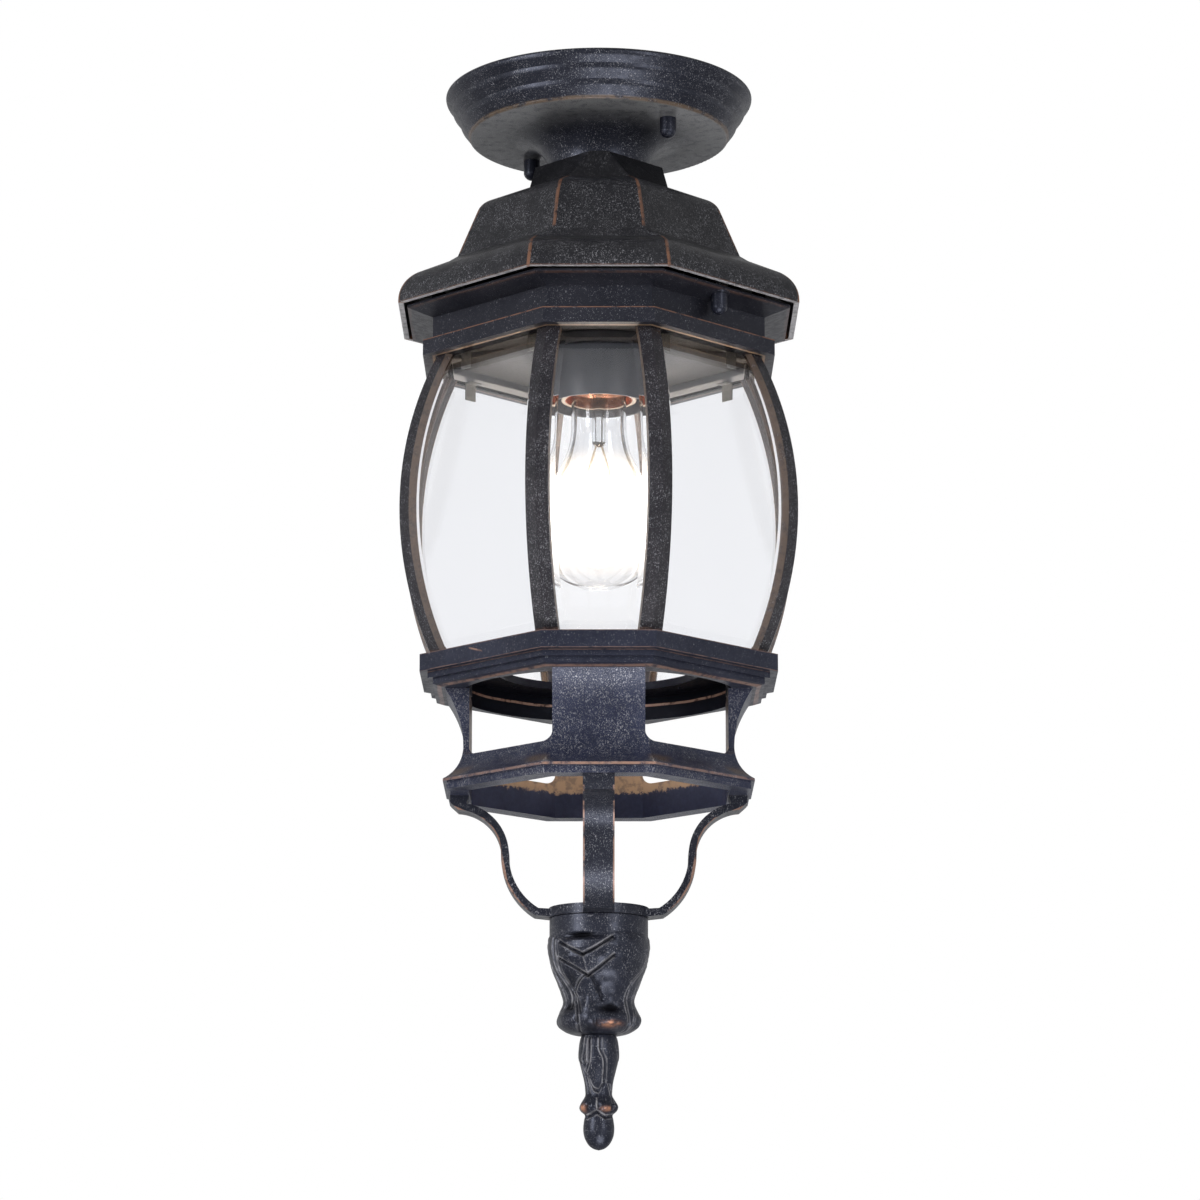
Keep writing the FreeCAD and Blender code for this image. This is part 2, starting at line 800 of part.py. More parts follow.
def canopy():
    """Spun canopy: a banded bowl, a flat floor and a trumpet that narrows to the neck."""
    body = new_body("canopy")
    wall = size.canopy_wall
    floor = -size.canopy_height
    flare = size.trumpet_radius + size.trumpet_flare
    turned(body, "bowl", canopy_wall() + [
        (size.canopy_floor_radius - size.canopy_edge, floor, LEVEL_END),
        (flare, floor),
        (size.trumpet_radius, neck_bottom, LEVEL_START),
        (0, neck_bottom),
        (0, neck_bottom + wall),
        (size.trumpet_radius - wall, neck_bottom + wall),
        (flare, floor + wall, LEVEL_END),
        (size.canopy_floor_radius - wall * 1.3, floor + wall),
        (size.canopy_radius - wall * 1.3, -size.canopy_edge),
        (size.canopy_radius - size.canopy_edge - wall, 0),
    ])
    hole = size.stud_radius + size.stud_hole_clearance
    depth = size.trumpet_drop
    bore(body, "stud_holes", [(size.stud_reach, 0, hole), (-size.stud_reach, 0, hole)],
         floor + wall + 1, depth)
    bore(body, "neck_hole", [(0, 0, size.nipple_radius + size.nipple_hole_clearance)],
         neck_bottom + wall + 1, depth)
    body.Placement = Placement(Vector(0, 0, 0), Rotation(Vector(0, 0, 1), FIXTURE_TURN))
    keep(body, "canopy")


def stud_form(label, top, bottom):
    """A plain threaded stud on its own axis."""
    body = new_body(label)
    turned(body, "rod", [
        (0, top),
        (size.stud_radius, top),
        (size.stud_radius, bottom),
        (0, bottom),
    ])
    return body


def cap_nut_form(label, seat):
    """A cap nut on its own axis: a round barrel with a domed end and a blind threaded hole."""
    body = new_body(label)
    bottom = seat - size.cap_nut_height
    hole = size.stud_radius + size.thread_clearance
    turned(body, "barrel", [
        (hole, seat),
        (size.cap_nut_radius, seat),
        (size.cap_nut_radius, bottom + size.cap_nut_dome),
        (0, bottom, LEVEL_END),
        (0, seat - size.stud_into_nut - 0.6),
        (hole, seat - size.stud_into_nut - 0.6),
    ])
    return body


def canopy_fasteners():
    """The two studs that carry the canopy, their lock nuts and their cap nuts."""
    floor = -size.canopy_height
    stud = stud_form("canopy_stud", -size.bar_thickness, floor - size.stud_into_nut)
    place_on_diagonal(stud, size.stud_reach)
    turned_copies("canopy_studs", stud, (0, 180))
    lock = new_body("stud_lock_nut")
    under = -(size.bar_thickness * 2)
    hole = size.stud_radius + size.thread_clearance
    turned(lock, "ring", [
        (hole, under),
        (size.lock_nut_radius, under),
        (size.lock_nut_radius, under - size.lock_nut_height),
        (hole, under - size.lock_nut_height),
    ])
    place_on_diagonal(lock, size.stud_reach)
    turned_copies("stud_lock_nuts", lock, (0, 180))
    nut = cap_nut_form("canopy_cap_nut", floor)
    place_on_diagonal(nut, size.stud_reach)
    turned_copies("canopy_cap_nuts", nut, (0, 180))


def hexagon(across):
    """Corner points of a hexagon across its flats."""
    reach = across / math.sqrt(3)
    return [(reach * math.cos(math.radians(60 * step)), reach * math.sin(math.radians(60 * step)))
            for step in range(6)]


def nipple_set():
    """Hollow rod, hex nuts and washers that clamp the roof to the canopy's neck."""
    canopy_face = neck_bottom + size.canopy_wall
    roof_face = neck_bottom - size.roof_wall
    stack = size.washer_thickness + size.nut_height
    top = canopy_face + stack + size.nipple_above_nut
    bottom = roof_face - stack - size.nipple_above_nut
    rod = new_body("threaded_nipple")
    turned(rod, "tube", [
        (size.nipple_bore, top),
        (size.nipple_radius, top),
        (size.nipple_radius, bottom),
        (size.nipple_bore, bottom),
    ])
    keep(rod, "threaded_nipple")
    hole = size.nipple_radius + size.thread_clearance
    nuts = []
    for name, nut_top in (("neck_nut", canopy_face + stack),
                          ("roof_nut", roof_face - size.washer_thickness)):
        nut = new_body(name)
        flat_pad(nut, "hexagon", hexagon(size.nut_across), nut_top, size.nut_height)
        bore(nut, "thread", [(0, 0, hole)], nut_top, size.nut_height)
        nuts.append(nut)
    washers = []
    for name, washer_top in (("neck_washer", canopy_face + size.washer_thickness),
                             ("roof_washer", roof_face)):
        washer = new_body(name)
        plug(washer, "disc", [(0, 0, size.washer_radius)], washer_top, size.washer_thickness)
        bore(washer, "hole", [(0, 0, hole)], washer_top, size.washer_thickness)
        washers.append(washer)
    grouped("nipple_nuts", nuts)
    grouped("nipple_washers", washers)


def roof_levels(bottom):
    """The roof's outside: collar, shoulder, dome, ledge, brim and lip, down to a given height."""
    return [
        (size.collar_top_half_width, size.collar_top_half_face, neck_bottom),
        (size.collar_bottom_half_width, size.collar_bottom_half_face, collar_bottom),
        (size.dome_top_half_width, size.dome_top_half_face, collar_bottom),
        (size.shoulder_half_width, size.shoulder_half_face, shoulder_level),
        (size.shoulder_end_half_width, size.shoulder_end_half_face, shoulder_end, INTO_NEXT),
        (size.dome_foot_half_width, size.dome_foot_half_face, dome_foot),
        (size.brim_top_half_width, size.brim_top_half_face, brim_top),
        (size.brim_half_width, size.brim_half_face, brim_end),
        (size.lip_half_width, size.lip_half_face, lip_top, UPRIGHT_END),
        (size.lip_half_width, size.lip_half_face, bottom),
    ]


def roof():
    """Cast roof: an octagonal shell with bosses for the cage studs and the socket pan."""
    wall = size.roof_wall
    outside = octagon_solid("roof_outside", roof_levels(lip_bottom))
    hollow = octagon_solid("roof_hollow", roof_levels(lip_bottom), wall, wall)
    shell = cut("roof_shell", outside, hollow)
    boss_height = size.lip_height + size.lip_curve_height + size.brim_drop
    posts = []
    for turn in (FIXTURE_TURN, FIXTURE_TURN + 180):
        posts.append(cylinder(f"stud_boss_{turn % 360}", size.stud_boss_radius,
                              lip_bottom + boss_height, boss_height, size.roof_stud_reach, turn))
    for turn in (0, 90, 180, 270):
        height = boss_height - size.pan_flange_above_lip
        posts.append(cylinder(f"pan_boss_{turn}", size.pan_boss_radius,
                              pan_top + height, height, size.pan_screw_reach, turn))
    bosses = common("roof_bosses", [fused("roof_posts", posts), outside])
    holes = [cylinder("neck_hole", size.nipple_radius + size.nipple_hole_clearance,
                      neck_bottom + 1, wall + 2)]
    for turn in (FIXTURE_TURN, FIXTURE_TURN + 180):
        holes.append(cylinder(f"stud_bore_{turn % 360}", size.stud_radius + size.thread_clearance,
                              lip_bottom + size.stud_into_nut * 2, size.stud_into_nut * 2,
                              size.roof_stud_reach, turn))
    for turn in (0, 90, 180, 270):
        holes.append(cylinder(f"pan_bore_{turn}", size.pan_screw_radius + size.thread_clearance,
                              pan_top + size.stud_into_nut, size.stud_into_nut,
                              size.pan_screw_reach, turn))
    casting = fused("roof_casting", [shell, bosses])
    keep(cut("roof", casting, fused("roof_bores", holes)), "roof")


def roof_studs():
    stud = stud_form("roof_stud", lip_bottom + size.stud_into_nut * 2 - size.seat_gap,
                     flange_top - size.stud_pad_drop - size.roof_stud_into_nut)
    place_on_diagonal(stud, size.roof_stud_reach)
    turned_copies("roof_studs", stud, (0, 180))


# Socket pan, cup and lampholder

def socket_pan():
    """Pressed pan that closes the roof and carries the lampholder, open upwards."""
    sheet = size.pan_sheet
    outside = octagon_solid("pan_outside", [
        (size.pan_flange_half_width, size.pan_flange_half_face, pan_top),
        (size.pan_flange_half_width, size.pan_flange_half_face, pan_top - sheet),
        (size.pan_half_width, size.pan_half_face, pan_top - sheet),
        (size.pan_half_width, size.pan_half_face, pan_floor),
    ])
    hollow = octagon_solid("pan_hollow", [
        (size.pan_half_width, size.pan_half_face, pan_top + 1),
        (size.pan_half_width, size.pan_half_face, pan_floor + sheet),
    ], sheet)
    holes = [cylinder("socket_opening", size.socket_radius + size.socket_clearance,
                      pan_floor + sheet + 1, sheet + 2)]
    for turn in (0, 90, 180, 270):
        holes.append(cylinder(f"pan_hole_{turn}", size.pan_screw_radius + size.stud_hole_clearance,
                              pan_top + 1, sheet + 2, size.pan_screw_reach, turn))
    for turn in (45, 225):
        holes.append(cylinder(f"pan_socket_hole_{turn}",
                              size.socket_screw_radius + size.thread_clearance,
                              pan_floor + sheet + 1, sheet + 2, size.socket_screw_reach, turn))
    pressed = cut("pan_pressed", outside, hollow)
    keep(cut("socket_pan", pressed, fused("pan_holes", holes)), "socket_pan")


def headed_screw(label, head_radius, head_height, radius, seat, length):
    """A screw driven upwards: its head is below the seat, its shank above."""
    body = new_body(label)
    turned(body, "screw", [
        (0, seat + length),
        (radius, seat + length),
        (radius, seat),
        (head_radius, seat),
        (head_radius, seat - head_height),
        (0, seat - head_height),
    ])
    return body


def socket_fasteners():
    pan_screw = headed_screw("pan_screw", size.pan_head_radius, size.pan_head_height,
                             size.pan_screw_radius, pan_top - size.pan_sheet,
                             size.pan_sheet + size.stud_into_nut - size.seat_gap)
    bind(pan_screw, "Placement.Base.x", size.pan_screw_reach)
    turned_copies("pan_screws", pan_screw, (0, 90, 180, 270))
    top = size.cup_wall + size.pan_sheet + size.socket_flange_height
    socket_screw = headed_screw("socket_screw", size.socket_screw_head_radius,
                                size.socket_screw_head_height, size.socket_screw_radius,
                                pan_floor - size.cup_wall, top)
    bind(socket_screw, "Placement.Base.x", size.socket_screw_reach)
    turned_copies("socket_screws", socket_screw, (45, 225))


def socket_cup():
    """Round cup under the pan that hides the lampholder."""
    body = new_body("socket_cup")
    wall = size.cup_wall
    opening = size.socket_radius + size.socket_clearance
    turned(body, "cup", [
        (opening, pan_floor),
        (size.cup_radius - 1.5, pan_floor),
        (size.cup_radius, pan_floor - 1.5, LEVEL_START),
        (size.cup_radius, cup_mouth),
        (size.cup_radius - wall, cup_mouth),
        (size.cup_radius - wall, pan_floor - wall),
        (opening, pan_floor - wall),
    ])
    hole = size.socket_screw_radius + size.thread_clearance
    reach = size.socket_screw_reach / ROOT_TWO
    bore(body, "screw_holes", [(reach, reach, hole), (-reach, -reach, hole)],
         pan_floor + 1, size.cup_wall + 2)
    keep(body, "socket_cup")


def lampholder():
    """Socket body with its flange on the pan, the screw shell and the centre contact."""
    flange_bottom = pan_floor + size.pan_sheet
    shell_end = socket_mouth + size.shell_flare_height * 2
    flare_end = socket_mouth + size.shell_flare_height
    gap = size.thread_clearance
    body = new_body("socket_body")
    turned(body, "housing", [
        (0, socket_top),
        (size.socket_radius, socket_top),
        (size.socket_radius, flange_bottom + size.socket_flange_height),
        (size.socket_flange_radius, flange_bottom + size.socket_flange_height),
        (size.socket_flange_radius, flange_bottom),
        (size.socket_radius, flange_bottom),
        (size.socket_radius, socket_mouth),
        (size.shell_mouth_radius + gap, socket_mouth),
        (size.shell_mouth_radius + gap, flare_end),
        (size.shell_radius + gap, shell_end),
        (size.shell_radius + gap, shell_top),
        (0, shell_top),
    ])
    hole = size.socket_screw_radius + gap
    reach = size.socket_screw_reach / ROOT_TWO
    bore(body, "screw_holes", [(reach, reach, hole), (-reach, -reach, hole)],
         flange_bottom + size.socket_flange_height + 1, size.socket_flange_height + 2)
    keep(body, "socket_body")
    shell = new_body("screw_shell")
    sheet = size.shell_sheet
    turned(shell, "shell", [
        (size.shell_radius - sheet, shell_top - size.contact_sheet),
        (size.shell_radius, shell_top - size.contact_sheet),
        (size.shell_radius, shell_end),
        (size.shell_mouth_radius, flare_end),
        (size.shell_mouth_radius, socket_mouth),
        (size.shell_mouth_radius - sheet, socket_mouth),
        (size.shell_mouth_radius - sheet, flare_end),
        (size.shell_radius - sheet, shell_end),
    ])
    keep(shell, "screw_shell")
    contact = new_body("centre_contact")
    plug(contact, "tongue", [(0, 0, size.contact_tongue)], shell_top, size.contact_sheet)
    keep(contact, "centre_contact")


# Bulb

def bulb():
    """Clear screw bulb: glass, screw base, contact, stem, wires and filament."""
    base_top = bulb_tip - size.base_tip_height - size.insulator_height
    base_rim = bulb_tip - size.base_length
    neck_end = bulb_tip - size.bulb_neck_end
    bottom = bulb_tip - size.bulb_length
    middle = bottom + size.bulb_radius
    wall = size.bulb_wall
    share = size.bulb_radius / (size.bulb_radius + size.bulb_neck_flare)
    flare_reach = size.bulb_neck_radius + size.bulb_neck_flare
    join_reach = flare_reach * share
    join_level = middle + (neck_end - middle) * share
    inner_share = (size.bulb_radius - wall) / (size.bulb_radius + size.bulb_neck_flare)
    inner_reach = flare_reach * inner_share
    inner_level = middle + (neck_end - middle) * inner_share
    tucked = size.base_radius - size.base_sheet - 0.1
    glass = new_body("bulb_glass")
    turned(glass, "envelope", [
        (tucked - wall, base_rim + size.glass_in_base),
        (tucked, base_rim + size.glass_in_base),
        (tucked, base_rim),
        (size.bulb_neck_radius, base_rim - 1.5),
        (size.bulb_neck_radius, neck_end),
        (join_reach, join_level, UPRIGHT_START),
        (size.bulb_radius, middle, UPRIGHT_END),
        (0, bottom, UPRIGHT_START),
        (0, bottom + wall),
        (size.bulb_radius - wall, middle, UPRIGHT_END),
        (inner_reach, inner_level, UPRIGHT_START),
        (size.bulb_neck_radius - wall, neck_end, UPRIGHT_END),
        (size.bulb_neck_radius - wall, base_rim - 1.5),
        (tucked - wall, base_rim),
    ])
    keep(glass, "bulb_glass")
    base = new_body("bulb_screw_base")
    turned(base, "shell", [
        (size.insulator_radius, base_top),
        (size.base_radius, base_top - 3.0),
        (size.base_radius, base_rim),
        (size.base_radius - size.base_sheet, base_rim),
        (size.base_radius - size.base_sheet, base_top - 3.0),
        (size.insulator_radius - size.base_sheet, base_top - size.base_sheet),
        (size.insulator_radius - size.base_sheet, base_top),
    ])
    keep(base, "bulb_screw_base")
    insulator = new_body("base_insulator")
    turned(insulator, "cone", [
        (0, bulb_tip - size.base_tip_height),
        (size.base_tip_radius, bulb_tip - size.base_tip_height),
        (size.insulator_radius, base_top),
        (0, base_top),
    ])
    keep(insulator, "base_insulator")
    contact = new_body("base_contact")
    plug(contact, "button", [(0, 0, size.base_tip_radius)], bulb_tip, size.base_tip_height)
    keep(contact, "base_contact")
    bulb_inside(base_rim)


def bulb_inside(base_rim):
    """Glass stem, the two wires and the arched filament."""
    stem_end = bulb_tip - size.stem_end
    stem_top = base_rim + size.glass_in_base
    stem = new_body("glass_stem")
    edge = size.base_radius - size.base_sheet - 0.1 - size.bulb_wall
    turned(stem, "stem", [
        (0, stem_top),
        (edge, stem_top),
        (edge, stem_top - 0.8),
        (size.stem_radius, stem_top - 12, UPRIGHT_END),
        (size.stem_radius, stem_end),
        (0, stem_end - size.stem_radius, UPRIGHT_START),
    ])
    keep(stem, "glass_stem")
    level = (bulb_tip - size.filament_place).value
    span = size.filament_half_span.value
    wire = size.lead_wire.value
    start_level = stem_end.value - size.stem_radius.value + 0.15
    leads = []
    for side in (1, -1):
        start = Vector(side * 1.6, 0, start_level)
        end = Vector(side * span, 0, level)
        leads.append(rod_between(start, end, wire))
    formed("lead_wires", Part.makeCompound(leads))
    thick = size.filament_wire.value
    rise = span * 0.35
    first = Vector(-span + wire, 0, level - thick - wire)
    last = Vector(span - wire, 0, level - thick - wire)
    arch = Part.Arc(first, Vector(0, 0, level - rise - thick - wire), last).toShape()
    path = Part.Wire([arch])
    ring = Part.Wire([Part.Circle(first, arch.tangentAt(arch.FirstParameter), thick).toShape()])
    formed("filament", path.makePipeShell([ring], True, False))


def rod_between(start, end, radius):
    """A round rod from one point to another."""
    way = end - start
    return Part.makeCylinder(radius, way.Length, start, way)


# Cage

def upper_ring():
    """Sloped flange, upper band and lower band, with an inner ledge for ribs and panes."""
    outside = octagon_solid("upper_ring_outside", [
        (size.flange_half_width, size.flange_half_face, flange_top),
        (size.flange_half_width, size.flange_half_face, flange_top - size.flange_edge),
        (size.upper_band_half_width, size.upper_band_half_face, band_top),
        (size.upper_band_half_width, size.upper_band_half_face, lower_band_top),
        (size.lower_band_half_width, size.lower_band_half_face, lower_band_top),
        (size.lower_band_half_width, size.lower_band_half_face, ring_bottom),
    ])
    opening = octagon_solid("upper_ring_opening", [
        (size.upper_opening_half_width, size.upper_opening_half_face, flange_top + 1),
        (size.upper_opening_half_width, size.upper_opening_half_face,
         ring_bottom + size.ledge_thickness),
        (size.ledge_half_width, size.ledge_half_face, ring_bottom + size.ledge_thickness),
        (size.ledge_half_width, size.ledge_half_face, ring_bottom - 1),
    ])
    pads = [cylinder(f"stud_pad_{turn % 360}", size.stud_pad_radius, flange_top,
                     size.stud_pad_drop, size.roof_stud_reach, turn)
            for turn in (FIXTURE_TURN, FIXTURE_TURN + 180)]
    holes = []
    for turn in (FIXTURE_TURN, FIXTURE_TURN + 180):
        holes.append(cylinder(f"flange_hole_{turn % 360}",
                              size.stud_radius + size.stud_hole_clearance,
                              flange_top + 1, size.flange_slope * 3, size.roof_stud_reach, turn))
        holes.append(cylinder(f"nut_face_{turn % 360}", size.cap_nut_radius + size.pane_clearance,
                              flange_top - size.stud_pad_drop, size.flange_slope * 2,
                              size.roof_stud_reach, turn))
    holes += peg_holes("upper", ring_bottom + size.ledge_thickness + 1, size.ledge_thickness + 2,
                       size.rib_top_half_width)
    ring = cut("upper_ring_frame", fused("upper_ring_solid", [outside] + pads), opening)
    keep(cut("upper_ring", ring, fused("upper_ring_holes", holes)), "upper_ring")


def corner_angles():
    """Directions of the eight octagon corners of the cage, in degrees."""
    lean = math.degrees(math.atan(size.corner_share.value))
    return [quarter + offset for quarter in (0, 90, 180, 270) for offset in (-lean, lean)]


def peg_reach(half_width):
    """How far from the axis a rib's peg stands, for the rib's outer half width at that end."""
    slant = math.sqrt(1 + size.corner_share.value ** 2)
    return (half_width - size.rib_peg_inset) * slant


def peg_holes(name, top, depth, half_width):
    reach = peg_reach(half_width)
    return [cylinder(f"{name}_peg_hole_{number}", size.rib_peg_radius + size.thread_clearance,
                     top, depth, reach, turn)
            for number, turn in enumerate(corner_angles(), start=1)]


def barrel(name, inset):
    """The cage's swelling octagonal form between its rings, moved inwards by an inset."""
    share = size.corner_share
    return octagon_solid(name, [
        (size.rib_top_half_width, size.rib_top_half_width * share, ring_bottom),
        (size.rib_widest_half_width, size.rib_widest_half_width * share, rib_widest, UPRIGHT_END),
        (size.rib_bottom_half_width, size.rib_bottom_half_width * share, lower_ring_top,
         UPRIGHT_START),
    ], inset)


def corner_slab(turn, width, top, bottom):
    """A thin upright slab that reaches out from the axis in one direction."""
    reach = size.lip_half_width.value * 1.5
    slab = Part.makeBox(reach, width, top - bottom, Vector(0, -width / 2, bottom))
    slab.rotate(Vector(0, 0, 0), Vector(0, 0, 1), turn)
    return slab


def ribs():
    """Eight ribs of T section: a two-faced flange outside and a web between the panes."""
    outer = barrel("rib_front", 0)
    back = barrel("rib_flange_back", size.rib_flange)
    inner = barrel("rib_web_back", size.rib_depth)
    doc.recompute()
    flange_band = outer.Shape.cut(back.Shape)
    web_band = back.Shape.cut(inner.Shape)
    top, bottom = ring_bottom.value, lower_ring_top.value
    peg = size.rib_peg_radius.value
    length = size.rib_peg_length.value
    for number, turn in enumerate(corner_angles(), start=1):
        front = flange_band.common(corner_slab(turn, size.rib_width.value, top, bottom))
        web = web_band.common(corner_slab(turn, size.rib_web.value, top, bottom))
        way = Vector(math.cos(math.radians(turn)), math.sin(math.radians(turn)), 0)
        upper = way * peg_reach(size.rib_top_half_width).value + Vector(0, 0, top - 1)
        lower = way * peg_reach(size.rib_bottom_half_width).value + Vector(0, 0, bottom - length)
        pegs = [Part.makeCylinder(peg, length + 1, upper), Part.makeCylinder(peg, length + 1, lower)]
        formed(f"rib_{number}", front.fuse([web] + pegs).removeSplitter())


def face_wedge(turn, half_angle, margin, top, bottom):
    """The space between two neighbouring rib webs, as a prism with a margin on both sides."""
    reach = size.lip_half_width.value * 2
    apex = margin / math.sin(math.radians(half_angle))
    lean = math.radians(half_angle)
    corners = [
        Vector(apex, 0, bottom),
        Vector(apex + reach * math.cos(lean), -reach * math.sin(lean), bottom),
        Vector(apex + reach * math.cos(lean), reach * math.sin(lean), bottom),
        Vector(apex, 0, bottom),
    ]
    prism = Part.Face(Part.makePolygon(corners)).extrude(Vector(0, 0, top - bottom))
    prism.rotate(Vector(0, 0, 0), Vector(0, 0, 1), turn)
    return prism


def front_edges(pane, form, front_first):
    """Edges round a pane's front, of those whose first face is, or is not, a front face."""
    skin = form.Shells[0]

    def on_front(item):
        spot = Part.Vertex(item.valueAt((item.FirstParameter + item.LastParameter) / 2))
        return spot.distToShape(skin)[0] < 0.01

    chosen = []
    for edge in pane.Edges:
        faces = [face for face in pane.Faces if any(edge.isSame(side) for side in face.Edges)]
        fronts = [all(on_front(side) for side in face.Edges) for face in faces]
        if on_front(edge) and fronts.count(True) == 1 and fronts[0] == front_first:
            chosen.append(edge)
    return chosen


def bevelled(pane, form):
    """Grinds a wide shallow bevel round a pane's front."""
    width, depth = size.bevel_width.value, size.bevel_depth.value
    for front_first, distances in ((True, (width, depth)), (False, (depth, width))):
        edges = front_edges(pane, form, front_first)
        if edges:
            pane = pane.makeChamfer(*distances, edges)
    return pane


PANE_FACES = (
    ("pane_front", -90), ("pane_front_right", -45), ("pane_right", 0), ("pane_back_right", 45),
    ("pane_back", 90), ("pane_back_left", 135), ("pane_left", 180), ("pane_front_left", -135),
)


def panes():
    """Eight glass panes that follow the barrel, each with a bevelled front."""
    front_inset = size.rib_flange + size.pane_clearance
    outer = barrel("pane_front_form", front_inset)
    inner = barrel("pane_back_form", front_inset + size.pane_thickness)
    doc.recompute()
    band = outer.Shape.cut(inner.Shape)
    gap = size.pane_clearance.value
    margin = size.rib_web.value / 2 + gap
    lean = math.degrees(math.atan(size.corner_share.value))
    top, bottom = ring_bottom.value - gap, lower_ring_top.value + gap
    for name, turn in PANE_FACES:
        half_angle = lean if turn % 90 == 0 else 45 - lean
        plain = band.common(face_wedge(turn, half_angle, margin, top, bottom))
        formed(name, bevelled(plain, outer.Shape))


def glass_clips():
    """Spring clips under the ledge that hold the wide panes against their ribs."""
    share = size.corner_share
    face = ((size.rib_top_half_width * (share + 1)) / ROOT_TWO - size.rib_flange
            - size.pane_clearance * 2 - size.pane_thickness).value
    sheet = size.clip_sheet.value
    width = size.clip_width.value
    top = ring_bottom.value
    clips = []
    for turn in (45, 135, 225, 315):
        for side in (1, -1):
            middle = side * size.clip_place.value
            foot = Part.makeBox(size.clip_foot.value, width, sheet,
                                Vector(face - size.clip_foot.value, middle - width / 2, top - sheet))
            leaf = Part.makeBox(sheet, width, size.clip_length.value,
                                Vector(face - sheet, middle - width / 2,
                                       top - size.clip_length.value))
            clip = foot.fuse(leaf).removeSplitter()
            clip.rotate(Vector(0, 0, 0), Vector(0, 0, 1), turn)
            clips.append(clip)
    formed("glass_clips", Part.makeCompound(clips))


def lower_ring():
    """Stepped octagonal ring with a web, a round opening, screw bosses and four drain holes."""
    outside = octagon_solid("lower_ring_outside", [
        (size.lower_ring_half_width, size.lower_ring_half_face, lower_ring_top),
        (size.lower_ring_half_width, size.lower_ring_half_face, first_step),
        (size.lower_step_half_width, size.lower_step_half_face, first_step),
        (size.lower_step_half_width, size.lower_step_half_face, second_step),
        (size.second_step_half_width, size.second_step_half_face, second_step),
        (size.second_step_half_width, size.second_step_half_face, foot_top),
        (size.lower_foot_half_width, size.lower_foot_half_face, lower_ring_bottom),
    ])
    web_bottom = lower_ring_top - size.lower_web
    tall = size.lower_ring_band * 3
    hollow = [
        cylinder("lower_opening", size.lower_opening_radius, lower_ring_top + 1, tall),
        cylinder("lower_bore", size.lower_bore_radius, web_bottom, tall),
    ]
    ring = cut("lower_ring_hollowed", outside, fused("lower_ring_hollow", hollow))
    bosses = [cylinder(f"basket_boss_{turn}", size.basket_boss_radius, web_bottom,
                       web_bottom - lower_ring_bottom, size.basket_screw_reach, turn)
              for turn in (0, 90, 180, 270)]
    solid = fused("lower_ring_bossed", [ring] + bosses)
    holes = []
    for turn in (45, 135, 225, 315):
        holes.append(cylinder(f"drain_{turn}", size.drain_radius, lower_ring_top + 1,
                              size.lower_web + 2, size.drain_reach, turn))
    for turn in (0, 90, 180, 270):
        holes.append(cylinder(f"basket_screw_hole_{turn}",
                              size.basket_screw_radius + size.stud_hole_clearance,
                              lower_ring_top + 1, tall, size.basket_screw_reach, turn))
    holes += peg_holes("lower", lower_ring_top + 1, size.rib_peg_length + 1.2,
                       size.rib_bottom_half_width)
    keep(cut("lower_ring", solid, fused("lower_ring_holes", holes)), "lower_ring")


def window_tool():
    """One corner window between two straps, with rounded strap ends."""
    reach = size.lip_half_width.value
    edge = size.strap_half_width.value
    high = lower_ring_bottom.value
    low = high - size.window_height.value
    block = Part.makeBox(reach, reach, high - low + 1, Vector(edge, edge, low))
    rounded = []
    for side in block.Edges:
        middle = side.CenterOfMass
        on_floor = abs(middle.z - low) < 0.01
        on_strap = abs(middle.x - edge) < 0.01 or abs(middle.y - edge) < 0.01
        if on_floor and on_strap:
            rounded.append(side)
    return block.makeFillet(size.window_round.value, rounded)


def upper_basket():
    """Four concave straps and the small ring, cast in one, with a plain octagonal inside."""
    outside = octagon_solid("upper_basket_outside", [
        (size.strap_top_half_width, size.strap_top_half_face, lower_ring_bottom),
        (size.waist_half_width, size.waist_half_face, waist, UPRIGHT_END),
        (size.basket_lip_half_width, size.basket_lip_half_face, basket_lip, UPRIGHT_START),
        (size.basket_lip_half_width, size.basket_lip_half_face,
         basket_lip - size.basket_lip_edge),
        (size.basket_foot_half_width, size.basket_foot_half_face,
         basket_lip - size.basket_lip_edge),
        (size.basket_foot_half_width, size.basket_foot_half_face, basket_bottom),
    ])
    inside = octagon_solid("upper_basket_inside", [
        (size.basket_inner_half_width, size.basket_inner_half_face, lower_ring_bottom + 1),
        (size.basket_inner_half_width, size.basket_inner_half_face, basket_bottom - 1),
    ])
    holes = []
    for turn in (0, 90, 180, 270):
        holes.append(cylinder(f"strap_bore_{turn}", size.basket_screw_radius + size.thread_clearance,
                              lower_ring_bottom + 1, size.basket_screw_length + 1.6,
                              size.basket_screw_reach, turn))
        holes.append(cylinder(f"ring_pin_bore_{turn}", size.arm_pin_radius + size.thread_clearance,
                              basket_bottom + size.arm_pin_up + size.seat_gap,
                              size.arm_pin_up + 1, size.arm_pin_reach, turn))
    wall = cut("upper_basket_wall", outside, inside)
    drilled = cut("upper_basket_drilled", wall, fused("upper_basket_bores", holes))
    doc.recompute()
    windows = []
    for turn in (0, 90, 180, 270):
        window = window_tool()
        window.rotate(Vector(0, 0, 0), Vector(0, 0, 1), turn)
        windows.append(window)
    formed("upper_basket", drilled.Shape.cut(windows))


def basket_screws():
    """Screws from inside the cage, through the lower ring, into the four straps."""
    body = new_body("basket_screw")
    head = size.basket_head_height
    shank_end = lower_ring_bottom - size.basket_screw_length
    turned(body, "screw", [
        (0, lower_ring_top + head),
        (size.basket_head_radius, lower_ring_top + head),
        (size.basket_head_radius, lower_ring_top),
        (size.basket_screw_radius, lower_ring_top),
        (size.basket_screw_radius, shank_end),
        (0, shank_end),
    ])
    bind(body, "Placement.Base.x", size.basket_screw_reach)
    turned_copies("basket_screws", body, (0, 90, 180, 270))


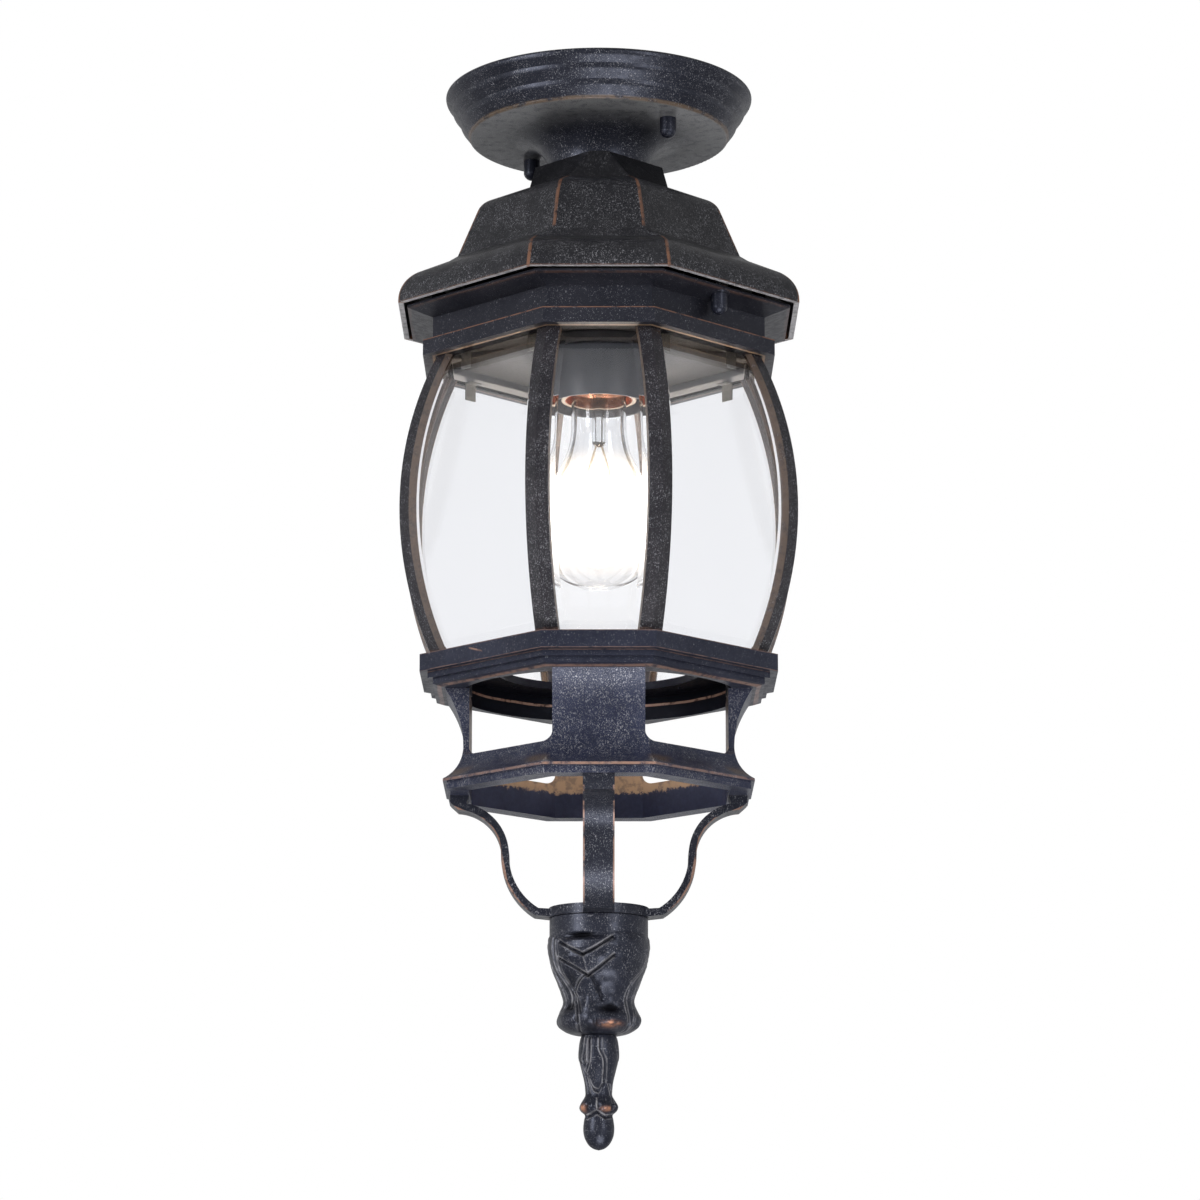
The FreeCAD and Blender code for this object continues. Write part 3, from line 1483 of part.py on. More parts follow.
def lower_basket():
    """Four flat S-shaped arms that sweep in to a round collar."""
    body = new_body("lower_basket")
    thick = size.arm_thickness
    plug(body, "collar", [(0, 0, size.collar_disc_radius)], disc_top, size.collar_disc_height)
    top = basket_bottom
    shoulder = top - size.arm_shoulder_drop
    upper_run = size.arm_shoulder_outer - size.arm_waist
    upper_fall = shoulder - arm_waist
    upper_radius = (upper_run * upper_run + upper_fall * upper_fall) / (upper_run * 2)
    upper_centre = size.arm_waist + upper_radius
    upper_share = (upper_radius + thick) / upper_radius
    inner_shoulder = upper_centre + (size.arm_shoulder_outer - upper_centre) * upper_share
    inner_shoulder_level = arm_waist + upper_fall * upper_share
    lower_run = size.arm_waist - size.arm_foot
    lower_fall = arm_waist - arm_foot
    lower_radius = (lower_run * lower_run + lower_fall * lower_fall) / (lower_run * 2)
    lower_centre = size.arm_waist - lower_radius
    lower_share = (lower_radius - thick) / lower_radius
    inner_foot = lower_centre + (size.arm_foot - lower_centre) * lower_share
    inner_foot_level = arm_waist - lower_fall * lower_share
    sketch = new_sketch(body, "arm_outline", "XZ_Plane")
    draw(sketch, [
        (size.arm_top_inner, top),
        (size.arm_top_outer, top),
        (size.arm_top_outer, top - size.arm_edge_drop),
        (size.arm_shoulder_outer, shoulder),
        (size.arm_waist, arm_waist, UPRIGHT_END),
        (size.arm_foot, arm_foot, UPRIGHT_START),
        (size.collar_disc_radius - 2, disc_bottom),
        (size.collar_disc_radius - 2, disc_top - 1),
        (inner_foot, inner_foot_level),
        (size.arm_waist - thick, arm_waist, UPRIGHT_END),
        (inner_shoulder - thick, inner_shoulder_level - 0.8, UPRIGHT_START),
    ])
    arm = body.newObject("PartDesign::Pad", "lower_basket_arm")
    arm.Profile = sketch
    arm.Midplane = True
    bind(arm, "Length", size.arm_width)
    body.Tip = arm
    around(body, [arm], 4)
    bore(body, "rod_hole", [(0, 0, size.rod_radius + size.pane_clearance)], disc_top + 1,
         size.collar_disc_height + 2)
    reach = size.arm_pin_reach
    hole = size.arm_pin_radius + size.thread_clearance
    bore(body, "pin_holes", [(reach, 0, hole), (-reach, 0, hole), (0, reach, hole), (0, -reach, hole)],
         top + 1, size.arm_pin_down + size.seat_gap + 1)
    keep(body, "lower_basket")


def arm_pins():
    body = new_body("arm_pin")
    turned(body, "pin", [
        (0, basket_bottom + size.arm_pin_up),
        (size.arm_pin_radius, basket_bottom + size.arm_pin_up),
        (size.arm_pin_radius, basket_bottom - size.arm_pin_down),
        (0, basket_bottom - size.arm_pin_down),
    ])
    bind(body, "Placement.Base.x", size.arm_pin_reach)
    turned_copies("arm_pins", body, (0, 90, 180, 270))


def tail():
    """Rod, nut, leaf cup and finial below the arms' collar."""
    rod_end = finial_top - size.rod_into_finial
    rod = new_body("tail_rod")
    turned(rod, "rod", [
        (0, disc_top + size.rod_above_disc),
        (size.rod_radius, disc_top + size.rod_above_disc),
        (size.rod_radius, rod_end),
        (0, rod_end),
    ])
    keep(rod, "tail_rod")
    nut = new_body("tail_nut")
    nut_top = disc_top + size.tail_nut_height
    flat_pad(nut, "hexagon", hexagon(size.tail_nut_radius * 2), nut_top, size.tail_nut_height)
    bore(nut, "thread", [(0, 0, size.rod_radius + size.thread_clearance)], nut_top,
         size.tail_nut_height)
    keep(nut, "tail_nut")
    leaf_cup()
    finial(rod_end)


def leaf_cup():
    """Turned cup under the collar: rim, bulge, neck and the flare of its leaf tips."""
    body = new_body("leaf_cup")
    top = disc_bottom
    hole = size.rod_radius + size.pane_clearance
    turned(body, "cup", [
        (hole, top),
        (size.cup_rim_radius, top),
        (size.cup_rim_radius, top - size.cup_rim_height),
        (size.leaf_bulge_radius, top - size.leaf_bulge_drop, UPRIGHT_END),
        (size.leaf_neck_radius, top - size.leaf_neck_drop, UPRIGHT_START),
        (size.leaf_tip_radius, top - size.leaf_tip_drop, UPRIGHT_END),
        (size.leaf_foot_radius, finial_top, LEVEL_END),
        (hole, finial_top),
    ])
    keep(body, "leaf_cup")


def finial(rod_end):
    """Turned finial: a bulge, a waist, a bead for its curls and an egg-shaped drop."""
    body = new_body("finial")
    top = finial_top
    hole = size.rod_radius + size.thread_clearance
    turned(body, "finial", [
        (hole, top),
        (size.finial_top_radius, top),
        (size.finial_bulge_radius, top - size.finial_bulge_drop, UPRIGHT_END),
        (size.finial_waist_radius, top - size.finial_waist_drop, UPRIGHT_START),
        (size.finial_curl_radius, top - size.finial_curl_drop, UPRIGHT_END),
        (size.finial_neck_radius, top - size.finial_neck_drop, LEVEL_END),
        (size.finial_drop_radius, top - size.finial_drop_place, UPRIGHT_END),
        (0, top - size.finial_length, LEVEL_END),
        (0, rod_end - size.seat_gap),
        (hole, rod_end - size.seat_gap),
    ])
    keep(body, "finial")


def roof_cap_nuts():
    """The two cap nuts that hold the cage up to the roof."""
    seat = flange_top - size.stud_pad_drop
    for label, side in (("roof_cap_nut_right", 1), ("roof_cap_nut_left", -1)):
        nut = cap_nut_form(label, seat)
        place_on_diagonal(nut, size.roof_stud_reach * side)
        keep(nut, label)


# Wires inside the lantern

def rounded_path(points, bend):
    """Straight runs joined by tangent arcs."""
    edges = []
    start = points[0]
    for before, corner, after in zip(points, points[1:], points[2:]):
        arrive = (corner - before).normalize()
        leave = (after - corner).normalize()
        half_turn = arrive.getAngle(leave) / 2
        shorter = min((corner - before).Length, (after - corner).Length)
        radius = min(bend, 0.45 * shorter / math.tan(half_turn))
        trim = radius * math.tan(half_turn)
        first = corner - arrive * trim
        last = corner + leave * trim
        inward = (leave - arrive).normalize()
        sagitta = radius / math.cos(half_turn) - radius
        middle = corner + inward * sagitta
        edges.append(Part.LineSegment(start, first).toShape())
        edges.append(Part.Arc(first, middle, last).toShape())
        start = last
    edges.append(Part.LineSegment(start, points[-1]).toShape())
    return Part.Wire(edges)


def wire_along(label, points):
    path = rounded_path(points, size.wire_bend.value)
    way = points[1] - points[0]
    ring = Part.Wire([Part.Circle(points[0], way, size.wire_radius.value).toShape()])
    formed(label, path.makePipeShell([ring], True, False))


CONNECTOR_TURNS = {"line": 190, "neutral": 250, "ground": 25}


def connector_place(turn, reach):
    angle = math.radians(turn)
    return Vector(reach * math.cos(angle), reach * math.sin(angle), -size.connector_level.value)


def wires():
    """Line and neutral leads through the hollow rod, and the ground lead, to their connectors."""
    side = size.wire_side.value
    socket_side = size.socket_radius.value / 2
    start = size.connector_start.value
    for name, sign in (("line", -1), ("neutral", 1)):
        turn = CONNECTOR_TURNS[name]
        wire_along(f"{name}_lead", [
            Vector(sign * socket_side, 0, socket_top.value),
            Vector(sign * socket_side, 0, dome_foot.value),
            Vector(sign * side, 0, collar_bottom.value - 14),
            Vector(sign * side, 0, -size.connector_level.value - 5),
            connector_place(turn, start),
        ])
    head = -(size.bar_thickness * 2 + size.ground_head_height + size.wire_radius + 0.1)
    angle = math.radians(FIXTURE_TURN)
    reach = size.ground_screw_reach.value
    first = Vector(reach * math.cos(angle), reach * math.sin(angle), head.value)
    wire_along("ground_lead", [
        first,
        first + Vector(8, 5, -1),
        connector_place(CONNECTOR_TURNS["ground"], start - 6) + Vector(0, -4, 0.5),
        connector_place(CONNECTOR_TURNS["ground"], start - 0.4),
    ])
    length = size.connector_length.value
    cones = []
    for turn in CONNECTOR_TURNS.values():
        mouth = connector_place(turn, start + 0.2)
        away = connector_place(turn, start + 1.2) - mouth
        cones.append(Part.makeCone(size.connector_radius.value, size.connector_tip_radius.value,
                                   length, mouth, away))
    formed("wire_connectors", Part.makeCompound(cones))


# Build, check and write

def build():
    ceiling_bars()
    swivel_rivet()
    ground_screw()
    canopy()
    canopy_fasteners()
    nipple_set()
    roof()
    roof_studs()
    socket_pan()
    socket_fasteners()
    socket_cup()
    lampholder()
    bulb()
    upper_ring()
    ribs()
    panes()
    glass_clips()
    lower_ring()
    upper_basket()
    basket_screws()
    lower_basket()
    arm_pins()
    tail()
    roof_cap_nuts()
    wires()
    doc.recompute()


LEAST_CUT = 0.1  # mm3 that any pocket has to remove


def check():
    """Stops before anything is written if a feature failed or a piece isn't a sound solid."""
    for item in doc.Objects:
        if "Invalid" in item.State or "Error" in item.State:
            raise RuntimeError(f"{item.Label} failed: {item.State}")
        if item.TypeId in ("PartDesign::Pocket", "PartDesign::Groove"):
            removed = item.BaseFeature.Shape.Volume - item.Shape.Volume
            if removed < LEAST_CUT:
                raise RuntimeError(f"{item.Label} removes only {removed} mm3")
    for item in nodes:
        shape = item.Shape
        if shape.isNull() or not shape.isValid() or not shape.Solids:
            raise RuntimeError(f"{item.Label} has no sound solid")


def write():
    os.makedirs("parts", exist_ok=True)
    for item in nodes:
        item.Shape.exportStep(os.path.join("parts", f"{item.Label}.step"))
        box = item.Shape.BoundBox
        print(f"{item.Label:22s} solids {len(item.Shape.Solids):2d} volume {item.Shape.Volume:10.1f}"
              f" z {box.ZMin:7.1f} {box.ZMax:7.1f}")


build()
check()
write()
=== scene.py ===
"""Looks of the porch ceiling lantern: camera, light, coat, glass, lit bulb and carved ornament."""

import json
import math
from typing import NamedTuple

import bpy
import numpy as np
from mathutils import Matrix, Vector, noise

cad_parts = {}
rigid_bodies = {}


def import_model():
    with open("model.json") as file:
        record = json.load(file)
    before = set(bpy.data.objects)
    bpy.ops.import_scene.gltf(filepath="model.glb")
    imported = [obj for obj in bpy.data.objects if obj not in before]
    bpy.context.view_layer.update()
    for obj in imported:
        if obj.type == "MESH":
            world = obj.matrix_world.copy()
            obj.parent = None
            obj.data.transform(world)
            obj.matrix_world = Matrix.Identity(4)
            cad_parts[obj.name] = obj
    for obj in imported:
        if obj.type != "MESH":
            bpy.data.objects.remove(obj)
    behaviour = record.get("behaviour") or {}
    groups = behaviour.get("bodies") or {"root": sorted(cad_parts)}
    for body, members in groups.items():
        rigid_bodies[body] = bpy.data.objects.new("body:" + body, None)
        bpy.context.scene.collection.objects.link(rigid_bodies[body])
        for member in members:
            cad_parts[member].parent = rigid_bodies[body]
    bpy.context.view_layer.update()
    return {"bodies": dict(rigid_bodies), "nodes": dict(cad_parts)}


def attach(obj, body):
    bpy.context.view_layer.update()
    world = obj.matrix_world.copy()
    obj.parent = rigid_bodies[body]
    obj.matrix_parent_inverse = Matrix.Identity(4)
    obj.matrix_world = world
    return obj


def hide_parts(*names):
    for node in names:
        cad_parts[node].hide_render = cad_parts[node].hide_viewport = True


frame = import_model()
nodes = frame["nodes"]
scene = bpy.context.scene
MM = 0.001
OPAQUE = (1.0,)
WHITE = (1.0, 1.0, 1.0)


def add_object(name, data, place=(0.0, 0.0, 0.0)):
    """A new object in the scene."""
    thing = bpy.data.objects.new(name, data)
    thing.location = place
    scene.collection.objects.link(thing)
    return thing


# Camera: below the lantern, square on to its front narrow face, looking up

CAMERA_PLACE = (0.0006, -2.083, -0.710)
CAMERA_LENS = 125.97
DEGREES_UP = 12.007


def add_camera():
    data = bpy.data.cameras.new("photo_camera")
    data.sensor_width = 36.0
    data.lens = CAMERA_LENS
    data.clip_end = 60.0
    camera = add_object("photo_camera", data, CAMERA_PLACE)
    camera.rotation_euler = (math.radians(90 + DEGREES_UP), 0.0, 0.0)
    scene.camera = camera


add_camera()


# Shader arithmetic: sockets that can be added, compared and mixed

class Value:
    """A number inside a node tree."""

    def __init__(self, tree, socket):
        self.tree = tree
        self.socket = socket

    def math(self, operation, *others):
        node = self.tree.nodes.new("ShaderNodeMath")
        node.operation = operation
        for index, item in enumerate((self,) + others):
            if isinstance(item, Value):
                self.tree.links.new(item.socket, node.inputs[index])
            else:
                node.inputs[index].default_value = item
        return Value(self.tree, node.outputs[0])

    def __add__(self, other):
        return self.math("ADD", other)

    def __sub__(self, other):
        return self.math("SUBTRACT", other)

    def __mul__(self, other):
        return self.math("MULTIPLY", other)

    def __truediv__(self, other):
        return self.math("DIVIDE", other)

    def __neg__(self):
        return self.math("MULTIPLY", -1.0)

    def abs(self):
        return self.math("ABSOLUTE")

    def max(self, other):
        return self.math("MAXIMUM", other)

    def min(self, other):
        return self.math("MINIMUM", other)

    def ramp(self, low, high, to_low=0.0, to_high=1.0):
        """A smooth step from to_low, up to low, to to_high, from high on."""
        node = self.tree.nodes.new("ShaderNodeMapRange")
        node.interpolation_type = "SMOOTHSTEP"
        self.tree.links.new(self.socket, node.inputs["Value"])
        for name, number in (("From Min", low), ("From Max", high),
                             ("To Min", to_low), ("To Max", to_high)):
            node.inputs[name].default_value = number
        return Value(self.tree, node.outputs[0])

    def fall(self, low, high):
        """1 up to low, then smoothly down to 0 at high."""
        return self.ramp(low, high, 1.0, 0.0)

    def near(self, place, width, soft):
        """1 within width of a place, falling to 0 over the soft share of it."""
        return (self - place).abs().fall(width, width * (1 + soft))

    def between(self, low, high, soft):
        """1 from low to high, with soft ends."""
        return self.ramp(low - soft, low + soft) * self.fall(high - soft, high + soft)


MIX_FIRST, MIX_SECOND, MIX_RESULT = 6, 7, 2


class Tree:
    """A material's node tree with the coordinates and textures that the coats share.

    x, y, z and r, the distance from the lantern's axis, are in millimetres. u is measured out to
    the nearest narrow face, and v from that face's middle.
    """

    def __init__(self, name):
        self.material = bpy.data.materials.new(name)
        self.material.use_nodes = True
        self.tree = self.material.node_tree
        self.nodes = self.tree.nodes
        self.links = self.tree.links
        self.shader = self.nodes["Principled BSDF"]
        self.output = self.nodes["Material Output"]
        self.place = self.nodes.new("ShaderNodeTexCoord").outputs["Object"]
        parts = self.nodes.new("ShaderNodeSeparateXYZ")
        self.links.new(self.place, parts.inputs[0])
        self.x, self.y, self.z = (Value(self.tree, out) * (1 / MM) for out in parts.outputs)
        self.u = self.x.abs().max(self.y.abs())
        self.v = self.x.abs().min(self.y.abs())
        self.r = (self.x * self.x + self.y * self.y).math("SQRT")

    def noise(self, scale, detail=2.0, rough=0.5, stretch=None):
        node = self.nodes.new("ShaderNodeTexNoise")
        node.inputs["Scale"].default_value = scale
        node.inputs["Detail"].default_value = detail
        node.inputs["Roughness"].default_value = rough
        place = self.place
        if stretch:
            mapping = self.nodes.new("ShaderNodeMapping")
            mapping.inputs["Scale"].default_value = stretch
            self.links.new(place, mapping.inputs["Vector"])
            place = mapping.outputs[0]
        self.links.new(place, node.inputs["Vector"])
        return Value(self.tree, node.outputs["Fac"])

    def wander(self, scale, detail, amount, rough=0.5):
        """Noise about 0 that reaches half the amount either way."""
        return (self.noise(scale, detail, rough) - 0.5) * amount

    def curve(self, value, points):
        """A straight-sided line through (place, result) points, in millimetres."""
        low, high = points[0][0], points[-1][0]
        top = max(result for _, result in points)
        node = self.nodes.new("ShaderNodeFloatCurve")
        line = node.mapping.curves[0]
        node.mapping.use_clip = True
        for index, (place, result) in enumerate(points):
            spot = ((place - low) / (high - low), result / top)
            if index in (0, len(points) - 1):
                end = line.points[0 if index == 0 else len(line.points) - 1]
                end.location = spot
                end.handle_type = "VECTOR"
            else:
                line.points.new(*spot).handle_type = "VECTOR"
        node.mapping.update()
        share = (value - low) * (1.0 / (high - low))
        self.links.new(share.socket, node.inputs["Value"])
        return Value(self.tree, node.outputs[0]) * top

    def normal(self):
        """The parts of the surface's direction along x, y and z."""
        texture = self.nodes.new("ShaderNodeTexCoord")
        split = self.nodes.new("ShaderNodeSeparateXYZ")
        self.links.new(texture.outputs["Normal"], split.inputs[0])
        return [Value(self.tree, part) for part in split.outputs]

    def outward(self):
        """Plus where the surface faces away from the lantern's axis, minus where it faces it."""
        along_x, along_y, _ = self.normal()
        return (self.x * along_x + self.y * along_y) / self.r.max(0.01)

    def facing_down(self):
        """1 on a level underside, 0 on an upright face and minus on top."""
        return -self.normal()[2]

    def octagon(self, half_width, half_face):
        """Distance outwards from an octagon's outline, in millimetres."""
        wide = (self.u + self.v - (half_width + half_face)) * math.sqrt(0.5)
        return (self.u - half_width).max(wide)

    def on_narrow_face(self, half_face):
        return (self.v - half_face).fall(-1.0, 1.0)

    def painted(self, name):
        """A mask that the mesh carries."""
        node = self.nodes.new("ShaderNodeAttribute")
        node.attribute_name = name
        return Value(self.tree, node.outputs["Fac"])

    def mix(self, share, first, second):
        """Mixes two colours, each a tuple or a socket."""
        node = self.nodes.new("ShaderNodeMix")
        node.data_type = "RGBA"
        self.links.new(share.socket, node.inputs[0])
        for item, slot in ((first, MIX_FIRST), (second, MIX_SECOND)):
            if isinstance(item, tuple):
                node.inputs[slot].default_value = item + OPAQUE
            else:
                self.links.new(item, node.inputs[slot])
        return node.outputs[MIX_RESULT]

    def bump(self, height, distance, strength):
        """A bumped normal. distance is in metres."""
        node = self.nodes.new("ShaderNodeBump")
        node.inputs["Distance"].default_value = distance
        node.inputs["Strength"].default_value = strength
        self.links.new(height.socket, node.inputs["Height"])
        return node.outputs[0]

    def set(self, **values):
        """Sets the shader's inputs, by name with underscores, to numbers, colours or sockets."""
        for name, value in values.items():
            slot = self.shader.inputs[name.replace("_", " ")]
            if isinstance(value, Value):
                self.links.new(value.socket, slot)
            elif isinstance(value, bpy.types.NodeSocket):
                self.links.new(value, slot)
            elif isinstance(value, tuple):
                slot.default_value = value + OPAQUE
            else:
                slot.default_value = value


# The coat: dark speckled powder with copper where its edges are rubbed

COAT = (0.0065, 0.0074, 0.0135)
COAT_LIGHT = (0.0165, 0.018, 0.028)
SHEEN = (0.74, 0.79, 1.0)
GREY_SHEEN = (0.90, 0.90, 0.95)
FLECK_AND_GLINT = (0.46, 0.46, 0.50)
COPPER = (0.27, 0.135, 0.085)
PINK = (0.42, 0.255, 0.190)
BROWN = (0.105, 0.075, 0.058)
TAN = (0.34, 0.225, 0.140)
PALE = (0.46, 0.45, 0.47)
GOLD = (0.24, 0.165, 0.10)
BRIGHT_COPPER = (0.62, 0.29, 0.165)
CANOPY_PAINTED_LIGHT_GREY = (0.215, 0.215, 0.22)
WALL_PAINTED_LIGHT_GREY = (0.34, 0.34, 0.35)
BLACK = (0.003, 0.003, 0.004)
PAINTED_SHADE_SMOKE = (0.40, 0.37, 0.34)
COAT_SHINE = 0.5
COAT_BUMP = 0.00009
FINE_BUMP = 0.00005
UPRIGHT = (1.0, 1.0, 0.5)  # stretches noise to twice its length up and down


def flecks_and_glints(t, amount):
    """Fine silvery grains and short upright fibres, in clusters, on the outer faces: partly the
    coat's own specks, partly painted glints for its sparkle.
    """
    least = 0.70 - 0.10 * amount
    fibres = t.noise(1500.0, 2.0, 0.65, UPRIGHT).ramp(least, least + 0.07)
    grains = t.noise(2000.0, 2.0, 0.65).ramp(least, least + 0.06)
    clusters = t.noise(85.0, 3.0, 0.6).ramp(0.34, 0.62, 0.25, 1.0)
    outer_faces = t.outward().ramp(-0.35, -0.05)
    return fibres.max(grains) * clusters * outer_faces


class Layer(NamedTuple):
    """A paint over the coat. Its painter gets the tree and returns the mask of where it lies."""

    painter: object
    colour: tuple
    least: float  # the share of it that is left where it is most broken
    metallic: float = 0.0
    shine: float = 1.0  # the share of the coat's shine that it keeps


def rubbed(painter, colour=COPPER):
    """Bare metal in broken patches."""
    return Layer(painter, colour, least=0.12, metallic=0.35)


def thin(painter, colour):
    """Paint through which some of the coat shows."""
    return Layer(painter, colour, least=0.5)


def even(painter, colour):
    """Paint that covers."""
    return Layer(painter, colour, least=1.0)


def shaded(painter):
    """A place that light hardly reaches: black, and almost without shine."""
    return Layer(painter, BLACK, least=1.0, shine=0.1)


def coat(name, *layers, fleck_and_glint=1.0, painted_light_tone=WHITE, sheen=SHEEN, carved=False):
    """The coat and its layers, with a tone per piece that is painted light. Carved crests are
    paler, as wear and painted highlight.
    """
    t = Tree(name)
    # Painted light: each piece's tone brightens or darkens its coat for how brightly that piece is
    # lit
    dark, light = (tuple(np.multiply(colour, painted_light_tone).tolist()) for colour in (COAT, COAT_LIGHT))
    clouds = t.noise(38.0, 3.0)
    mottle = t.noise(420.0, 3.0, 0.7).ramp(0.3, 0.7, 0.0, 0.55)
    colour = t.mix((clouds.ramp(0.35, 0.75) + mottle) * 0.7, dark, light)
    speck_and_glint_mask = flecks_and_glints(t, fleck_and_glint)
    broken = t.noise(210.0, 4.0, 0.62)
    # Flecks: the coat's own pale specks, and painted glints for the sparkle of its highlights
    colour = t.mix(speck_and_glint_mask * 0.75, colour, FLECK_AND_GLINT)
    metal = speck_and_glint_mask * 0.35
    shine = COAT_SHINE
    for layer in layers:
        mask = layer.painter(t) * broken.ramp(0.34, 0.53, layer.least, 1.0)
        colour = t.mix(mask, colour, layer.colour)
        if layer.metallic:
            metal = metal.max(mask * layer.metallic)
        if layer.shine < 1.0:
            shine = mask.ramp(0.0, 1.0, 1.0, layer.shine) * shine
    # Carved pieces: crests paler, partly wear and partly painted highlight; grooves and wells black
    # with little shine, as painted shade
    if carved:
        crest, hollow_shade = t.painted("crest"), t.painted("hollow_shade")
        colour = t.mix(crest * broken.ramp(0.38, 0.56, 0.3, 1.0) * 0.85, colour, PALE)
        colour = t.mix(hollow_shade * 0.95, colour, BLACK)
        shine = hollow_shade.ramp(0.3, 1.0, 1.0, 0.1) * shine
    rough = t.noise(300.0, 2.0).ramp(0.3, 0.7, 0.28, 0.40) - speck_and_glint_mask * 0.12
    height = t.noise(520.0, 3.0, 0.6) + speck_and_glint_mask * 0.6
    t.set(Base_Color=colour, Roughness=rough, Metallic=metal, Specular_IOR_Level=shine,
          Specular_Tint=sheen, Normal=t.bump(height, COAT_BUMP, 0.6))
    return t.material


# Where the layers lie. Heights are minus below the ceiling, and all lengths are in millimetres

def wavy(t, amount):
    """A small wander for a rubbed line."""
    return t.wander(60.0, 3.0, 2 * amount)


def level_line(t, place, width, amount=0.3):
    """A line at one height that wanders up and down by an amount."""
    return (t.z + wavy(t, amount)).near(place, width, 0.8)


def outside(t):
    return t.outward().ramp(0.0, 0.3)


def inside(t):
    return t.outward().fall(-0.4, -0.1)


def underside(t):
    return t.facing_down().ramp(0.6, 0.9)


CANOPY_EDGE_RADII = (66.1, 67.6)
CANOPY_EDGE_HEIGHTS = (-23.0, -20.9)
CANOPY_FLOOR_RADII = (30.0, 60.0)


def canopy_rub(t):
    """Worn gold round the edge of the canopy's floor."""
    edge = (t.r + wavy(t, 0.4)).between(*CANOPY_EDGE_RADII, 0.4)
    return edge * t.z.between(*CANOPY_EDGE_HEIGHTS, 0.4) * 0.5


def canopy_floor_painted_light(t):
    """Painted light: the canopy's floor painted paler towards its rim, for the light it reflects
    from below.
    """
    return t.facing_down().ramp(0.7, 0.95) * t.r.ramp(*CANOPY_FLOOR_RADII)


# Up the roof: its height, and half the width of a narrow face there
ROOF_CORNER = [(-120.3, 34.6), (-119.1, 34.6), (-104.1, 33.2), (-97.6, 31.4), (-92.4, 22.6),
               (-67.6, 20.3), (-60.9, 18.8), (-54.0, 16.3), (-39.3, 4.6)]
ROOF_UPPER_CORNERS = (-90.5, -54.0)
ROOF_LOWER_CORNERS = (-121.0, -98.5)
ROOF_LIP = -120.2
ROOF_LIP_UNDERSIDE = (-119.6, -119.0)
ROOF_COLLAR_FOOT = (-54.6, -53.8)


def roof_rub(t):
    """Copper along the corners of the narrow faces, and a trace of it along the lip."""
    corner = (t.v + wavy(t, 0.35) - t.curve(t.z, ROOF_CORNER)).abs().fall(0.55, 1.05)
    upper = t.z.between(*ROOF_UPPER_CORNERS, 1.2) * 0.8
    lower = t.z.between(*ROOF_LOWER_CORNERS, 1.5) * 0.9
    lip = level_line(t, ROOF_LIP, 0.35) * 0.35
    return (corner * upper.max(lower)).max(lip * t.outward().ramp(0.1, 0.4))


def roof_collar(t):
    """The collar over the roof, from its foot up."""
    return t.z.ramp(*ROOF_COLLAR_FOOT) * 0.7


def roof_lip_painted_light(t):
    """Painted light: the lip's underside painted pale, lifting the shade in the gap above the
    ring's flange.
    """
    return t.facing_down().ramp(0.5, 0.9) * t.z.fall(*ROOF_LIP_UNDERSIDE)


# The octagon of the panes' tops: half its width, and half a narrow face
PANE_TOPS = (82.0, 25.4)
BARE_STRIP, LEDGE_EDGE = (1.0, 2.4), (0.0, 0.8)
RING_FLANGE_EDGE = -122.2
RING_BAND_TOP = -137.95
RING_UNDERSIDE = (-145.4, -145.0)


def ring_rub(t):
    """A thin copper line on the lower band's top edge, and a trace of one on the flange."""
    flange = level_line(t, RING_FLANGE_EDGE, 0.25) * 0.25
    return level_line(t, RING_BAND_TOP, 0.35).max(flange) * outside(t) * 0.7


def ring_under(t):
    """The underside of the lower band."""
    return underside(t) * t.z.fall(*RING_UNDERSIDE)


def ring_tan(t):
    """The bare strip under the ring, outside the panes' tops."""
    return t.octagon(*PANE_TOPS).between(*BARE_STRIP, 0.4) * ring_under(t) * 0.9


def ring_ledge(t):
    """The shaded part of the ring's underside, inside the panes' tops."""
    return t.octagon(*PANE_TOPS).fall(*LEDGE_EDGE) * ring_under(t) * 0.9


def inner_wall_painted_light(t):
    """Painted light: the side of the ring's wall that faces the bulb, painted grey for the bulb's
    light and the glass's reflections on it.
    """
    return t.outward().fall(-0.5, -0.2)


PAN_FRONT = (25.0, 65.0)


def pan_shade(t):
    """The front of the socket pan's underside, softly darker."""
    front = (t.x.abs() - t.y + t.wander(30.0, 2.0, 8.0)).ramp(*PAN_FRONT)
    return front * underside(t) * 0.6


RIB_SLANT = 0.31
RIB_WEB_SIDE = (2.2, 2.4)
RIB_FOOT = -299.0


def rib_brown(t):
    """Thin coat on the webs beside the glass."""
    across = (t.v - t.u * RIB_SLANT).abs()
    return t.outward().fall(0.0, 0.55) * across.ramp(*RIB_WEB_SIDE) * 0.9


def rib_rub(t):
    """A trace of copper at the ribs' feet."""
    return level_line(t, RIB_FOOT, 0.5) * 0.25


LOWER_RING_TOP = -300.6
LOWER_RING_STEP = -309.3
LOWER_RING_FOOT = -316.5
LOWER_RING_STRIPE = -309.2
WEB_UNDERSIDE = (-308.0, -306.0)
SCRATCH_SLOPE, SCRATCH_LEVEL = 0.42, -329.3
SCRATCH_ACROSS, SCRATCH_DOWN = (-64.0, -57.5), (-308.5, -301.5)


def lower_ring_scratch(t):
    """A slanting scratch at the front, to the left."""
    scratch = (t.z + t.x * SCRATCH_SLOPE - SCRATCH_LEVEL).abs().fall(0.25, 0.6)
    scratch = scratch * t.x.between(*SCRATCH_ACROSS, 0.6) * t.z.between(*SCRATCH_DOWN, 0.5)
    return scratch * t.y.fall(0.0, 1.0) * 0.7


